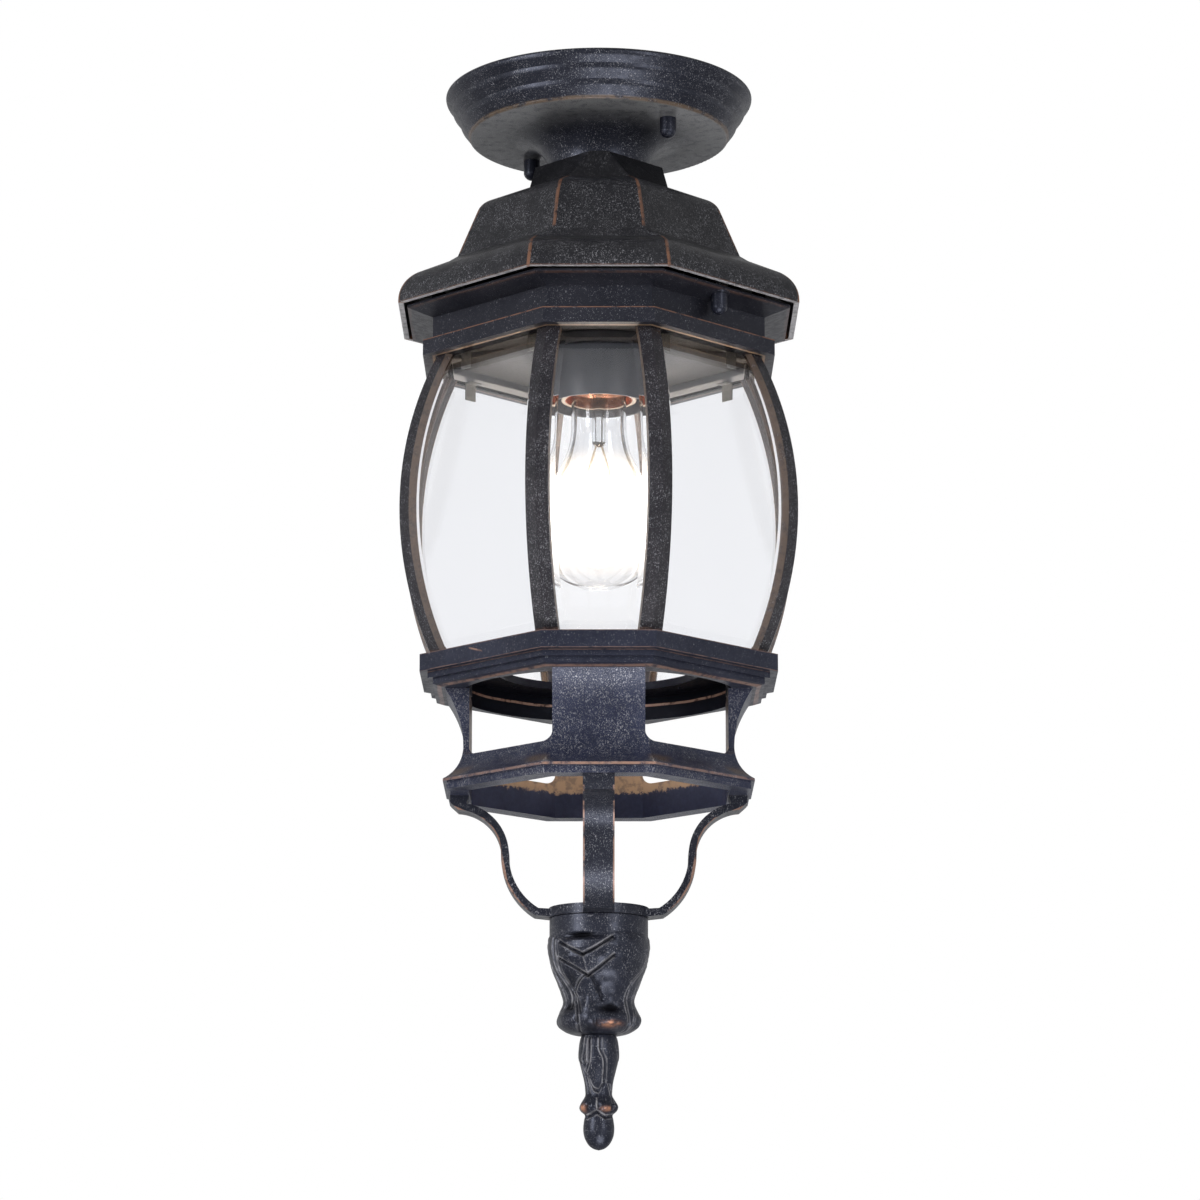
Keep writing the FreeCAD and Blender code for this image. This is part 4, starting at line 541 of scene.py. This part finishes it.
def lower_ring_rub(t):
    """Broken lines on the edges, a scratch, and a stripe round the inside of the wall."""
    step_line = level_line(t, LOWER_RING_STEP, 0.3) * 0.35
    foot = level_line(t, LOWER_RING_FOOT, 0.4) * 0.55
    top_edge = level_line(t, LOWER_RING_TOP, 0.25) * 0.3
    stripe = level_line(t, LOWER_RING_STRIPE, 0.45, 0.5) * inside(t) * 0.75
    lines = step_line.max(foot).max(top_edge).max(lower_ring_scratch(t))
    return (lines * outside(t)).max(stripe)


def lower_ring_painted_shade(t):
    """Painted shade: the wall's inside and the web's underside, painted black."""
    return inside(t).max(underside(t) * t.z.ramp(*WEB_UNDERSIDE)) * 0.85


BASKET_LIP = -364.0
BASKET_HALF_FACE = 27.6
STRAP_HEIGHTS = (-353.0, -317.0)
SMUDGE_ALONG, SMUDGE_HEIGHTS = (25.0, 35.0), (-362.4, -358.5)
OVERSPRAY_EDGE = (-356.4, -355.0)
OVERSPRAY_HEIGHTS = (-357.5, -345.0)


def basket_rub(t):
    """A bright copper line round the lip, strongest on the narrow faces."""
    narrow = t.on_narrow_face(BASKET_HALF_FACE) * 0.5 + 0.5
    return level_line(t, BASKET_LIP, 0.45, 0.15) * narrow * outside(t)


def basket_brown(t):
    """The straps' edges and inner faces, thinly coated, and a smudge beside each strap's foot."""
    inner = t.outward().fall(-0.2, 0.35)
    strap = t.z.between(*STRAP_HEIGHTS, 1.0) * inner * 0.85
    smudge = t.v.between(*SMUDGE_ALONG, 2.5) * t.z.between(*SMUDGE_HEIGHTS, 1.2)
    return strap.max(smudge * 0.75 * (-inner + 1.0))


def basket_tan(t):
    """Overspray along the top of the small ring's inner wall."""
    drift = t.z + t.wander(330.0, 4.0, 9.0, 0.7)
    inner = t.outward().fall(-0.3, 0.0)
    return drift.ramp(*OVERSPRAY_EDGE) * inner * t.z.between(*OVERSPRAY_HEIGHTS, 3.5)


# Down the lower basket: its height, and the arms' reach from the axis there
ARM_OUTLINE = [(-428.5, 32.4), (-426.0, 35.8), (-420.0, 41.6), (-412.0, 46.2), (-398.7, 48.8),
               (-390.0, 50.5), (-385.0, 53.3), (-380.0, 58.4), (-376.0, 67.9)]
ARM_HALF_WIDTH = 7.75
ARM_HEIGHTS = (-426.0, -371.0)


def arm_rub(t):
    """Ragged copper on the arms' long outer edges."""
    side_face = t.v.ramp(ARM_HALF_WIDTH - 0.12, ARM_HALF_WIDTH - 0.02)
    from_edge = t.curve(t.z, ARM_OUTLINE) - t.u
    on_side = side_face * (from_edge + wavy(t, 0.2)).fall(0.55, 1.0)
    on_front = (t.v + wavy(t, 0.3)).ramp(ARM_HALF_WIDTH - 0.95, ARM_HALF_WIDTH - 0.55)
    on_front = on_front * from_edge.fall(0.2, 0.5)
    return on_side.max(on_front) * t.z.between(*ARM_HEIGHTS, 1.5) * 0.8


def carved_rub(t):
    """The crests that the carved mesh marks as rubbed."""
    return t.painted("rubbed")


def nut_rub(t):
    """A few worn specks."""
    return t.noise(200.0).ramp(0.68, 0.72) * 0.4


# Other finishes

def plain(name, colour, other, roughness, metallic=0.0, scale=300.0, bump=FINE_BUMP, shade=None):
    """A finish with a second tone, a little unevenness and an optional shaded part."""
    t = Tree(name)
    patches = t.noise(scale, 3.0)
    colour = t.mix(patches.ramp(0.3, 0.7), colour, other)
    if shade:
        mask = shade(t)
        colour = t.mix(mask, colour, BLACK)
        t.set(Specular_IOR_Level=mask.ramp(0.0, 1.0, 0.5, 0.2))
    t.set(Base_Color=colour, Roughness=patches.ramp(0.2, 0.8, roughness * 0.85, roughness * 1.15),
          Metallic=metallic)
    if bump:
        t.set(Normal=t.bump(t.noise(scale * 2, 2.0), bump, 0.5))
    return t.material


GLASS_IOR = 1.45


def add_glow(t, strength, colour):
    """The shader with a painted glow added."""
    lamp = t.nodes.new("ShaderNodeEmission")
    t.links.new(colour, lamp.inputs["Color"])
    t.links.new(strength.socket, lamp.inputs["Strength"])
    add = t.nodes.new("ShaderNodeAddShader")
    t.links.new(t.shader.outputs[0], add.inputs[0])
    t.links.new(lamp.outputs[0], add.inputs[1])
    return add.outputs[0]


def see_through(name, tint, glow=None, mirror=0.5, strip=None):
    """Clear glass that lets lamp light through, with an optional painted glow and an optional strip
    of painted shade, by place.
    """
    t = Tree(name)
    shade = tuple(part * 0.985 for part in tint)
    colour = t.mix(t.noise(18.0, 1.0), tint, shade)
    if strip:
        mask = strip(t)
        colour = t.mix(mask, colour, PAINTED_SHADE_SMOKE)
        mirror = mask.ramp(0.0, 1.0, mirror, 0.02)
    t.set(Base_Color=colour, Roughness=0.0, Transmission_Weight=1.0, IOR=GLASS_IOR,
          Specular_IOR_Level=mirror)
    surface = add_glow(t, *glow(t)) if glow else t.shader.outputs[0]
    clear = t.nodes.new("ShaderNodeBsdfTransparent")
    clear.inputs["Color"].default_value = tint + OPAQUE
    light_path = t.nodes.new("ShaderNodeLightPath")
    mix = t.nodes.new("ShaderNodeMixShader")
    t.links.new(light_path.outputs["Is Shadow Ray"], mix.inputs[0])
    t.links.new(surface, mix.inputs[1])
    t.links.new(clear.outputs[0], mix.inputs[2])
    t.links.new(mix.outputs[0], t.output.inputs["Surface"])
    return t.material


BEVEL_FOOT = (-155.4, -154.6)
FILAMENT_HEIGHT = -221.0
GLOW_REACH, WARM_REACH = (4.0, 34.0), (6.0, 26.0)


def pane_painted_shade_strip(t):
    """Painted shade: a dark smoky strip across the top bevels of the front panes."""
    return (t.z + t.wander(40.0, 2.0, 0.8)).ramp(*BEVEL_FOOT) * t.y.fall(-10.0, 10.0)


def bulb_glass_painted_glow(t):
    """Painted light: a warm glow given off by the glass itself, strongest level with the filament.
    """
    down = (t.z - FILAMENT_HEIGHT).abs()
    strength = down.ramp(*GLOW_REACH, 0.55, 0.0)
    colour = t.mix(down.ramp(*WARM_REACH), (1.0, 0.93, 0.82), (1.0, 0.80, 0.55))
    return strength, colour


def hot(name, colour, strength):
    """A glowing wire."""
    t = Tree(name)
    patches = t.noise(900.0)
    t.set(Base_Color=colour, Roughness=0.4, Emission_Color=colour,
          Emission_Strength=patches.ramp(0.2, 0.8, strength * 0.9, strength))
    return t.material


def dress(material, *names):
    """Gives the named CAD nodes a material in place of their own."""
    for name in names:
        mesh = nodes[name].data
        mesh.materials.clear()
        mesh.materials.append(material)


RIBS = [f"rib_{number}" for number in range(1, 9)]
PANES = [name for name in nodes if name.startswith("pane_")]


def dress_nodes():
    dress(coat("coat_canopy", thin(canopy_floor_painted_light, CANOPY_PAINTED_LIGHT_GREY), rubbed(canopy_rub, GOLD),
               fleck_and_glint=0.85, painted_light_tone=(0.75, 0.75, 0.75)), "canopy")
    dress(coat("coat_roof", thin(roof_lip_painted_light, PALE), even(roof_collar, BLACK), rubbed(roof_rub),
               painted_light_tone=(1.25, 1.15, 0.85), sheen=GREY_SHEEN), "roof")
    dress(coat("coat_upper_ring", even(inner_wall_painted_light, WALL_PAINTED_LIGHT_GREY), thin(ring_tan, TAN),
               shaded(ring_ledge), rubbed(ring_rub), fleck_and_glint=0.5, painted_light_tone=(1.1, 1.0, 0.85)),
          "upper_ring")
    dress(coat("coat_ribs", thin(rib_brown, BROWN), rubbed(rib_rub), fleck_and_glint=0.95,
               painted_light_tone=(1.6, 1.3, 1.0), sheen=GREY_SHEEN), *RIBS)
    dress(coat("coat_lower_ring", shaded(lower_ring_painted_shade), rubbed(lower_ring_rub, PINK),
               fleck_and_glint=0.5, painted_light_tone=(1.6, 1.6, 1.7)), "lower_ring")
    dress(coat("coat_upper_basket", thin(basket_brown, BROWN), thin(basket_tan, TAN),
               rubbed(basket_rub, PINK), fleck_and_glint=1.15, painted_light_tone=(1.7, 1.8, 2.3)), "upper_basket")
    dress(coat("coat_lower_basket", rubbed(arm_rub, PINK), fleck_and_glint=0.9, painted_light_tone=(0.8, 0.8, 0.8)),
          "lower_basket")
    dress(coat("coat_nuts", rubbed(nut_rub), fleck_and_glint=0.5), "canopy_cap_nuts", "roof_cap_nut_right",
          "roof_cap_nut_left")
    dress(plain("pan_paint", (0.085, 0.085, 0.09), (0.10, 0.10, 0.105), 0.45, scale=60.0, bump=0.0,
                shade=pan_shade), "socket_pan")
    dress(plain("cup_paint", (0.042, 0.044, 0.053), (0.050, 0.053, 0.062), 0.40, scale=90.0,
                bump=0.0), "socket_cup")
    dress(plain("zinc", (0.55, 0.55, 0.56), (0.42, 0.42, 0.43), 0.32, 1.0),
          "ceiling_bar", "fixture_bar", "swivel_rivet", "canopy_studs", "stud_lock_nuts",
          "threaded_nipple", "nipple_nuts", "nipple_washers", "roof_studs", "pan_screws",
          "socket_screws", "basket_screws", "arm_pins", "tail_rod", "tail_nut")
    dress(plain("green_screw", (0.03, 0.20, 0.06), (0.04, 0.26, 0.08), 0.35, 0.6), "ground_screw")
    # Painted shade: the porcelain socket body is painted a dark brown-grey, the tone of its shaded
    # mouth
    dress(plain("porcelain", (0.24, 0.20, 0.17), (0.30, 0.26, 0.22), 0.22), "socket_body")
    dress(plain("copper_shell", (0.62, 0.27, 0.16), (0.80, 0.42, 0.27), 0.24, 1.0),
          "screw_shell", "centre_contact")
    dress(plain("bulb_base", (0.72, 0.60, 0.40), (0.80, 0.70, 0.52), 0.28, 1.0),
          "bulb_screw_base", "base_contact")
    dress(plain("black_glass", (0.01, 0.01, 0.01), (0.02, 0.02, 0.02), 0.12), "base_insulator")
    dress(plain("clip_steel", (0.17, 0.17, 0.165), (0.24, 0.235, 0.23), 0.35, 0.6, 700.0),
          "glass_clips")
    dress(plain("wire_black", (0.02, 0.02, 0.02), (0.03, 0.03, 0.03), 0.5), "line_lead")
    dress(plain("wire_white", (0.75, 0.75, 0.73), (0.68, 0.68, 0.66), 0.5), "neutral_lead")
    dress(plain("wire_green", (0.03, 0.25, 0.06), (0.04, 0.30, 0.08), 0.5), "ground_lead")
    dress(plain("connector", (0.75, 0.35, 0.04), (0.65, 0.30, 0.03), 0.4), "wire_connectors")
    dress(plain("lead_wire", (0.45, 0.38, 0.30), (0.30, 0.25, 0.20), 0.3, 1.0), "lead_wires")
    dress(hot("filament_white", (1.0, 0.86, 0.62), 90.0), "filament")
    dress(see_through("pane_glass", (0.948, 0.953, 0.970), mirror=0.2, strip=pane_painted_shade_strip), *PANES)
    dress(see_through("bulb_glass", (0.985, 0.99, 1.0), bulb_glass_painted_glow), "bulb_glass")
    dress(see_through("stem_glass", (0.96, 0.97, 0.97)), "glass_stem")


dress_nodes()


# Carved ornament: a turned form pushed in and out round its axis

def revolve_mesh(name, profile, relief, turns, rows):
    """A closed turned form. profile is (radius, height) from top to bottom, in millimetres.

    relief gets each point's angle, radius and height, and gives its new radius and the masks that
    the mesh carries for its coat.
    """
    path = np.array(profile, float)
    steps = np.concatenate([[0], np.cumsum(np.hypot(*np.diff(path, axis=0).T))])
    spots = np.linspace(0, steps[-1], rows)
    radius = np.interp(spots, steps, path[:, 0])
    height = np.interp(spots, steps, path[:, 1])
    angle = np.linspace(0, 2 * np.pi, turns, endpoint=False)
    a, z = np.meshgrid(angle, height)
    r, masks = relief(a, np.repeat(radius[:, None], turns, 1), z)
    points = np.stack([r * np.cos(a), r * np.sin(a), z], -1).reshape(-1, 3) * MM
    index = np.arange(rows * turns).reshape(rows, turns)
    ahead = np.roll(index, -1, 1)
    wall = np.stack([index[:-1], index[1:], ahead[1:], ahead[:-1]], -1).reshape(-1, 4)
    caps = [index[0].tolist(), index[-1, ::-1].tolist()]
    mesh = bpy.data.meshes.new(name)
    mesh.from_pydata(points.tolist(), [], wall.tolist() + caps)
    mesh.update()
    for polygon in mesh.polygons:
        polygon.use_smooth = len(polygon.vertices) == 4
    for label, mask in masks.items():
        layer = mesh.attributes.new(label, "FLOAT", "POINT")
        layer.data.foreach_set("value", np.clip(mask, 0, 1).ravel().astype(np.float32))
    return add_object(name, mesh)


def smooth_curve(points, count=12):
    """A soft curve through points, with count steps from each to the next."""
    path = np.array(points, float)
    out = []
    padded = np.vstack([2 * path[0] - path[1], path, 2 * path[-1] - path[-2]])
    for p0, p1, p2, p3 in zip(padded, padded[1:], padded[2:], padded[3:]):
        square, cube = 2 * p0 - 5 * p1 + 4 * p2 - p3, 3 * p1 - p0 - 3 * p2 + p3
        for share in np.linspace(0, 1, count, endpoint=False):
            out.append(0.5 * (2 * p1 + (p2 - p0) * share + square * share ** 2
                              + cube * share ** 3))
    out.append(path[-1])
    return out


def step(value, low, high):
    """A smooth step from 0 at low to 1 at high."""
    share = np.clip((value - low) / (high - low), 0, 1)
    return share * share * (3 - 2 * share)


def bell(distance, width):
    return np.exp(-(distance / width) ** 2)


def from_front(a):
    """Degrees round from the front, to the right plus."""
    return np.degrees(a) + 90.0


PATTERN_REPEAT = 180.0


def nearest(phi, place):
    """Degrees from a place on the pattern, which comes again on the back."""
    half = PATTERN_REPEAT / 2
    return (phi - place + half) % PATTERN_REPEAT - half


def swell(phi, drop, place, size):
    """A soft hump, 1 in its middle. place and size are (degrees, millimetres)."""
    return np.exp(-(nearest(phi, place[0]) / size[0]) ** 2 - ((drop - place[1]) / size[1]) ** 2)


def stroke_distance(phi, drop, radius, points, shift=(0.0, 0.0)):
    """Millimetres over the surface from a soft curve through (degrees, drop) points."""
    path = np.array(smooth_curve(points, 5)) if len(points) > 2 else np.array(points, float)
    middle = path[:, 0].mean()
    across = np.radians(nearest(phi, middle)) * radius - shift[0]
    down = drop - shift[1]
    best = np.full(phi.shape, np.inf)
    for (angle0, drop0), (angle1, drop1) in zip(path, path[1:]):
        x0, x1 = (np.radians(angle - middle) * radius for angle in (angle0, angle1))
        run, fall = x1 - x0, drop1 - drop0
        share = ((across - x0) * run + (down - drop0) * fall) / (run ** 2 + fall ** 2)
        share = np.clip(share, 0, 1)
        off = np.hypot(across - x0 - share * run, down - drop0 - share * fall)
        best = np.minimum(best, off)
    return best


RIDGE_WIDTH = 0.36
GROOVE_WIDTH = 0.85
FAR_RIDGE = 0.6


def carve(a, r, drop, strokes, swells, wells):
    """Relief in millimetres and its painted masks, from the ornament's lines and humps.

    A stroke is a ridge with a groove beside it and, where there is a groove, a lower ridge beyond.
    The crest mask paints ridges pale, partly as wear and partly as painted highlight, and the
    shade mask paints painted shade into grooves and wells.
    """
    phi = from_front(a)
    high, crest, hollow_shade = np.zeros((3,) + a.shape)
    for points, rise, fall, shift, paint in strokes:
        beyond = (2 * shift[0], 2 * shift[1])
        ridge = bell(stroke_distance(phi, drop, r, points), RIDGE_WIDTH)
        groove = bell(stroke_distance(phi, drop, r, points, shift), GROOVE_WIDTH)
        far_ridge = bell(stroke_distance(phi, drop, r, points, beyond), RIDGE_WIDTH)
        far_ridge = FAR_RIDGE * far_ridge * (fall > 0)
        high += rise * (ridge + far_ridge) - fall * groove
        crest = np.maximum(crest, paint * np.maximum(ridge, far_ridge))
        hollow_shade = np.maximum(hollow_shade, groove * min(0.55, 0.45 * fall))
    for place, size, rise in swells:
        high += rise * swell(phi, drop, place, size)
    for place, size, depth in wells:
        well = swell(phi, drop, place, size)
        high -= depth * well
        hollow_shade = np.maximum(hollow_shade, np.minimum(1.0, 1.3 * well) * min(1.0, depth * 0.6))
    return high, {"crest": crest * (1 - 0.6 * hollow_shade), "hollow_shade": hollow_shade}


# Ornament. A stroke: its curve through (degrees round, millimetres down), its rise, its groove's
# depth and place, and how pale its crest is, as wear and painted highlight. A swell or a well: its
# place and size, both (degrees, millimetres), and its rise or depth. A well is painted shade inside

CUP_TOP, CUP_FOOT, CUP_BORE = -429.6, -488.0, 3.4
UNDER, BESIDE_LEFT, BESIDE_RIGHT = (0.0, 1.1), (-1.0, 0.0), (1.0, 0.0)
CUP_STROKES = [
    ([(-50, 12.5), (-35, 16.0), (-19, 19.6)], 0.6, 2.0, UNDER, 0.8),
    ([(-19, 19.6), (-5, 16.8), (16, 11.0)], 0.6, 2.0, UNDER, 0.8),
    ([(-56, 20.0), (-38, 24.0), (-15, 29.7)], 0.55, 1.8, UNDER, 0.8),
    ([(-15, 29.7), (0, 26.0), (18, 20.0)], 0.55, 1.8, UNDER, 0.8),
    ([(-19, 20.5), (-15, 29.0)], 0.5, 0.0, UNDER, 0.5),
    ([(-15, 30.0), (-31, 35.0), (-38, 40.5), (-30, 48.0), (-29, 54.0), (-38, 58.0)], 0.6, 1.2,
     BESIDE_LEFT, 0.7),
    ([(-13, 31.0), (-6, 36.0), (2, 42.0)], 0.2, 1.2, BESIDE_RIGHT, 0.0),
    ([(74, 17.5), (66, 27.0), (50, 34.0), (44, 42.0), (45, 51.0), (53, 58.0)], 0.6, 1.1,
     BESIDE_RIGHT, 1.0),
    ([(88, 24.0), (75, 32.0), (62, 45.0), (57, 54.0), (66, 58.0)], 0.5, 1.0, BESIDE_RIGHT, 0.9),
    ([(-86, 9.5), (-81, 24.0), (-68, 37.0), (-67, 45.0), (-80, 48.0)], 0.5, 1.0, BESIDE_RIGHT, 0.9),
    ([(-67, 11.0), (-65, 26.0), (-49, 38.0), (-50, 46.0)], 0.55, 1.0, BESIDE_RIGHT, 0.9),
    ([(-58, 12.5), (-57, 29.0), (-40, 41.0), (-31, 48.0)], 0.5, 1.0, BESIDE_RIGHT, 0.9),
]
CUP_SWELLS = [
    ((-18, 15.6), (24, 2.0), 1.6),
    ((-36, 21.6), (14, 2.0), 1.0),
    ((2, 21.6), (13, 2.0), 1.0),
    ((-15, 42.0), (11, 8.0), 1.1),
    ((34, 30.0), (24, 12.0), 0.5),
    ((-56, 52.0), (13, 3.8), 0.5),
    ((-17, 52.0), (8, 3.2), 0.5),
    ((17, 53.2), (16, 2.8), 0.9),
    ((80, 51.5), (14, 4.0), 0.9),
]
CUP_WELLS = [
    ((-21, 11.0), (19, 1.5), 2.4),
    ((-42, 33.0), (9, 4.5), 0.9),
    ((-2, 37.0), (4, 4.0), 0.6),
    ((18, 46.6), (19, 2.5), 1.7),
    ((-52, 45.4), (12, 2.2), 1.3),
    ((-33, 53.0), (3, 3.5), 0.8),
    ((-5, 54.0), (3, 3.0), 1.0),
    ((49, 52.0), (4, 4.5), 0.8),
    ((-16, 57.0), (9, 1.4), 0.9),
]
CUP_RUBBED = ((17, 54.3), (13, 1.3))
CUP_RIM_END = (8.9, 10.2)
CUP_REACH = 25.85
LUMP_SCALE, LUMP_HEIGHT = 0.25, 0.25


def leaf_relief(a, r, z):
    """Acanthus leaves: chevron folds, a midrib, side strands and curled tips, twice round."""
    drop = CUP_TOP - z
    below_rim = step(drop, *CUP_RIM_END)
    high, masks = carve(a, r, drop, CUP_STROKES, CUP_SWELLS, CUP_WELLS)
    spots = zip((r * np.cos(a)).ravel(), (r * np.sin(a)).ravel(), z.ravel())
    lumps = np.array([noise.noise(Vector(spot) * LUMP_SCALE) for spot in spots])
    high += LUMP_HEIGHT * lumps.reshape(high.shape)
    masks = {name: mask * below_rim for name, mask in masks.items()}
    masks["rubbed"] = swell(from_front(a), drop, *CUP_RUBBED)
    return np.minimum(r + high * below_rim, CUP_REACH), masks


CUP_RIM = [(CUP_BORE, CUP_TOP), (24.2, CUP_TOP), (24.6, -430.0), (24.6, -438.5)]
CUP_OUTLINE = [(24.6, -438.6), (25.1, -441.0), (25.4, -444), (24.9, -449), (23.3, -455.5),
               (20.6, -462.5), (18.0, -469.5), (17.9, -472.5), (19.4, -476.6), (20.3, -480.4),
               (19.2, -484.2), (14.6, -487.0), (9.7, -487.95)]


def carve_leaf_cup():
    profile = CUP_RIM + smooth_curve(CUP_OUTLINE) + [(CUP_BORE, CUP_FOOT)]
    piece = revolve_mesh("leaf_cup_carved", profile, leaf_relief, 350, 270)
    piece.data.materials.append(coat("coat_leaf_cup", rubbed(carved_rub, BRIGHT_COPPER),
                                     carved=True, fleck_and_glint=0.85))
    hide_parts("leaf_cup")
    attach(piece, "cage")


FINIAL_TOP = -488.0
FINIAL_STROKES = [
    ([(-50, 1.6), (-50, 7.5), (-60, 12.5), (-52, 14.0), (-38, 12.0), (-36, 2.0)], 0.35, 0.6,
     BESIDE_RIGHT, 0.7),
    ([(-24, 2.0), (-22, 8.0), (-26, 13.5), (-45, 19.0)], 0.35, 0.6, BESIDE_LEFT, 0.7),
    ([(-1, 2.0), (0, 8.0), (13, 13.6), (14, 24.0)], 0.4, 0.5, BESIDE_RIGHT, 0.7),
    ([(14, 24.0), (3, 26.4), (-9, 26.6), (-28, 25.0), (-46, 18.5)], 0.45, 0.7, UNDER, 0.8),
    ([(58, 6.0), (69, 11.7)], 0.3, 0.4, BESIDE_RIGHT, 0.6),
    ([(86, 1.5), (86, 12.5)], 0.3, 0.4, BESIDE_LEFT, 0.6),
    ([(-61, 14.4), (-48, 21.5), (-38, 28.6)], 0.35, 0.5, BESIDE_LEFT, 0.6),
    ([(39, 24.5), (55, 29.7), (47, 33.8)], 0.35, 0.6, BESIDE_RIGHT, 0.7),
    ([(-7, 31.5), (-6, 36.6)], 0.5, 0.0, UNDER, 0.9),
    ([(-58, 39.6), (-28, 38.6), (-7, 37.3)], 0.4, 0.8, UNDER, 0.9),
    ([(-7, 37.3), (9, 38.7), (27, 39.8)], 0.4, 0.8, UNDER, 0.9),
    ([(27, 39.8), (68, 39.0)], 0.4, 0.6, UNDER, 0.6),
]
FINIAL_SWELLS = [
    ((-14, 17.0), (13, 6.0), 0.35),
    ((-60, 35.6), (15, 2.0), 0.7),
    ((-23, 35.8), (12, 1.9), 0.5),
    ((24, 36.0), (17, 1.9), 0.7),
    ((73, 35.6), (15, 2.0), 0.7),
]
FINIAL_WELLS = [
    ((-42, 36.0), (5, 1.9), 0.9),
    ((0, 35.6), (5, 1.9), 0.7),
    ((48, 36.0), (6, 1.9), 0.9),
    ((-9, 24.6), (12, 1.6), 0.35),
    ((24, 33.0), (14, 1.2), 0.4),
]
FINIAL_RUBBED = [((-60, 36.2), (13, 1.5)), ((26, 36.8), (16, 1.0))]
FINIAL_REACH = 10.18


def finial_relief(a, r, z):
    """Long leaves on the bulge and curls over a plain egg-shaped drop, twice round."""
    drop = FINIAL_TOP - z
    high, masks = carve(a, r, drop, FINIAL_STROKES, FINIAL_SWELLS, FINIAL_WELLS)
    left, right = (swell(from_front(a), drop, *spot) for spot in FINIAL_RUBBED)
    masks["rubbed"] = np.maximum(left, right)
    return np.clip(r + high, 0.0, FINIAL_REACH), masks


FINIAL_CROWN = [(3.1, -488.02)]
FINIAL_OUTLINE = [(8.7, -488.2), (9.6, -492.5), (10.0, -498), (9.5, -501.5), (8.4, -506),
                  (7.2, -511), (6.7, -515.5), (6.8, -518), (8.5, -521), (9.2, -523.2),
                  (8.8, -525.4), (6.9, -527.4), (7.3, -530), (7.7, -534), (7.2, -538),
                  (5.4, -541.6), (2.9, -543.8), (0.05, -544.68)]


def carve_finial():
    profile = FINIAL_CROWN + smooth_curve(FINIAL_OUTLINE)
    piece = revolve_mesh("finial_carved", profile, finial_relief, 260, 300)
    piece.data.materials.append(coat("coat_finial", rubbed(carved_rub, BRIGHT_COPPER),
                                     carved=True, fleck_and_glint=0.7))
    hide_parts("finial")
    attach(piece, "cage")


carve_leaf_cup()
carve_finial()


# Light and surroundings

LIGHT_FROM_BELOW, LIGHT_FROM_ABOVE = 0.75, 0.25
BULB_LIGHT_PLACE = (0, 0, -0.222)
FLOOR_HALF, FLOOR_LEVEL, FLOOR_BRIGHTNESS = 9.0, -3.0, 0.72


def background_rays(tree):
    """1 for rays that show the background, straight or through glass."""
    path = tree.nodes.new("ShaderNodeLightPath")
    seen = Value(tree, path.outputs["Is Camera Ray"])
    return seen.max(Value(tree, path.outputs["Is Transmission Ray"]))


def add_world():
    """White to look at, and a soft light that is stronger from below."""
    world = bpy.data.worlds.new("studio")
    scene.world = world
    world.use_nodes = True
    tree = world.node_tree
    back = tree.nodes["Background"]
    way = tree.nodes.new("ShaderNodeSeparateXYZ")
    tree.links.new(tree.nodes.new("ShaderNodeTexCoord").outputs["Generated"], way.inputs[0])
    lighting = Value(tree, way.outputs[2]).ramp(-0.8, 0.8, LIGHT_FROM_BELOW, LIGHT_FROM_ABOVE)
    tree.links.new(background_rays(tree).max(lighting).socket, back.inputs["Strength"])
    back.inputs["Color"].default_value = WHITE + OPAQUE


def add_softbox(name, place, aim, size, power):
    data = bpy.data.lights.new(name, "AREA")
    data.shape = "RECTANGLE"
    data.size, data.size_y = size
    data.energy = power
    lamp = add_object(name, data, place)
    way = Vector(aim) - Vector(place)
    lamp.rotation_euler = way.to_track_quat("-Z", "Y").to_euler()


def add_bulb_light():
    data = bpy.data.lights.new("bulb_light", "POINT")
    data.energy = 0.45
    data.color = (1.0, 0.86, 0.68)
    data.shadow_soft_size = 0.012
    lamp = add_object("bulb_light", data, BULB_LIGHT_PLACE)
    lamp.parent = frame["bodies"]["bulb"]


def add_floor():
    """A pale floor that keeps the lantern's shadow and is nearly white to look at."""
    mesh = bpy.data.meshes.new("floor")
    corners = [(x * FLOOR_HALF, y * FLOOR_HALF, FLOOR_LEVEL)
               for x, y in ((-1, -1), (1, -1), (1, 1), (-1, 1))]
    mesh.from_pydata(corners, [], [(0, 1, 2, 3)])
    floor = add_object("floor", mesh)
    t = Tree("floor_white")
    t.set(Base_Color=t.mix(t.noise(2.0), (0.86, 0.86, 0.86), (0.88, 0.88, 0.88)), Roughness=0.9,
          Emission_Color=WHITE, Emission_Strength=background_rays(t.tree) * FLOOR_BRIGHTNESS)
    mesh.materials.append(t.material)


add_world()
add_softbox("left_box", place=(-1.5, -1.3, 0.1), aim=(0, 0, -0.25), size=(0.5, 1.4), power=22)
add_softbox("right_box", place=(1.2, -1.6, -0.1), aim=(0, 0, -0.25), size=(0.35, 1.2), power=8)
add_softbox("low_box", place=(0.3, -1.0, -1.7), aim=(0, 0, -0.2), size=(1.2, 0.8), power=16)
add_bulb_light()
add_floor()
scene.view_settings.view_transform = "Standard"
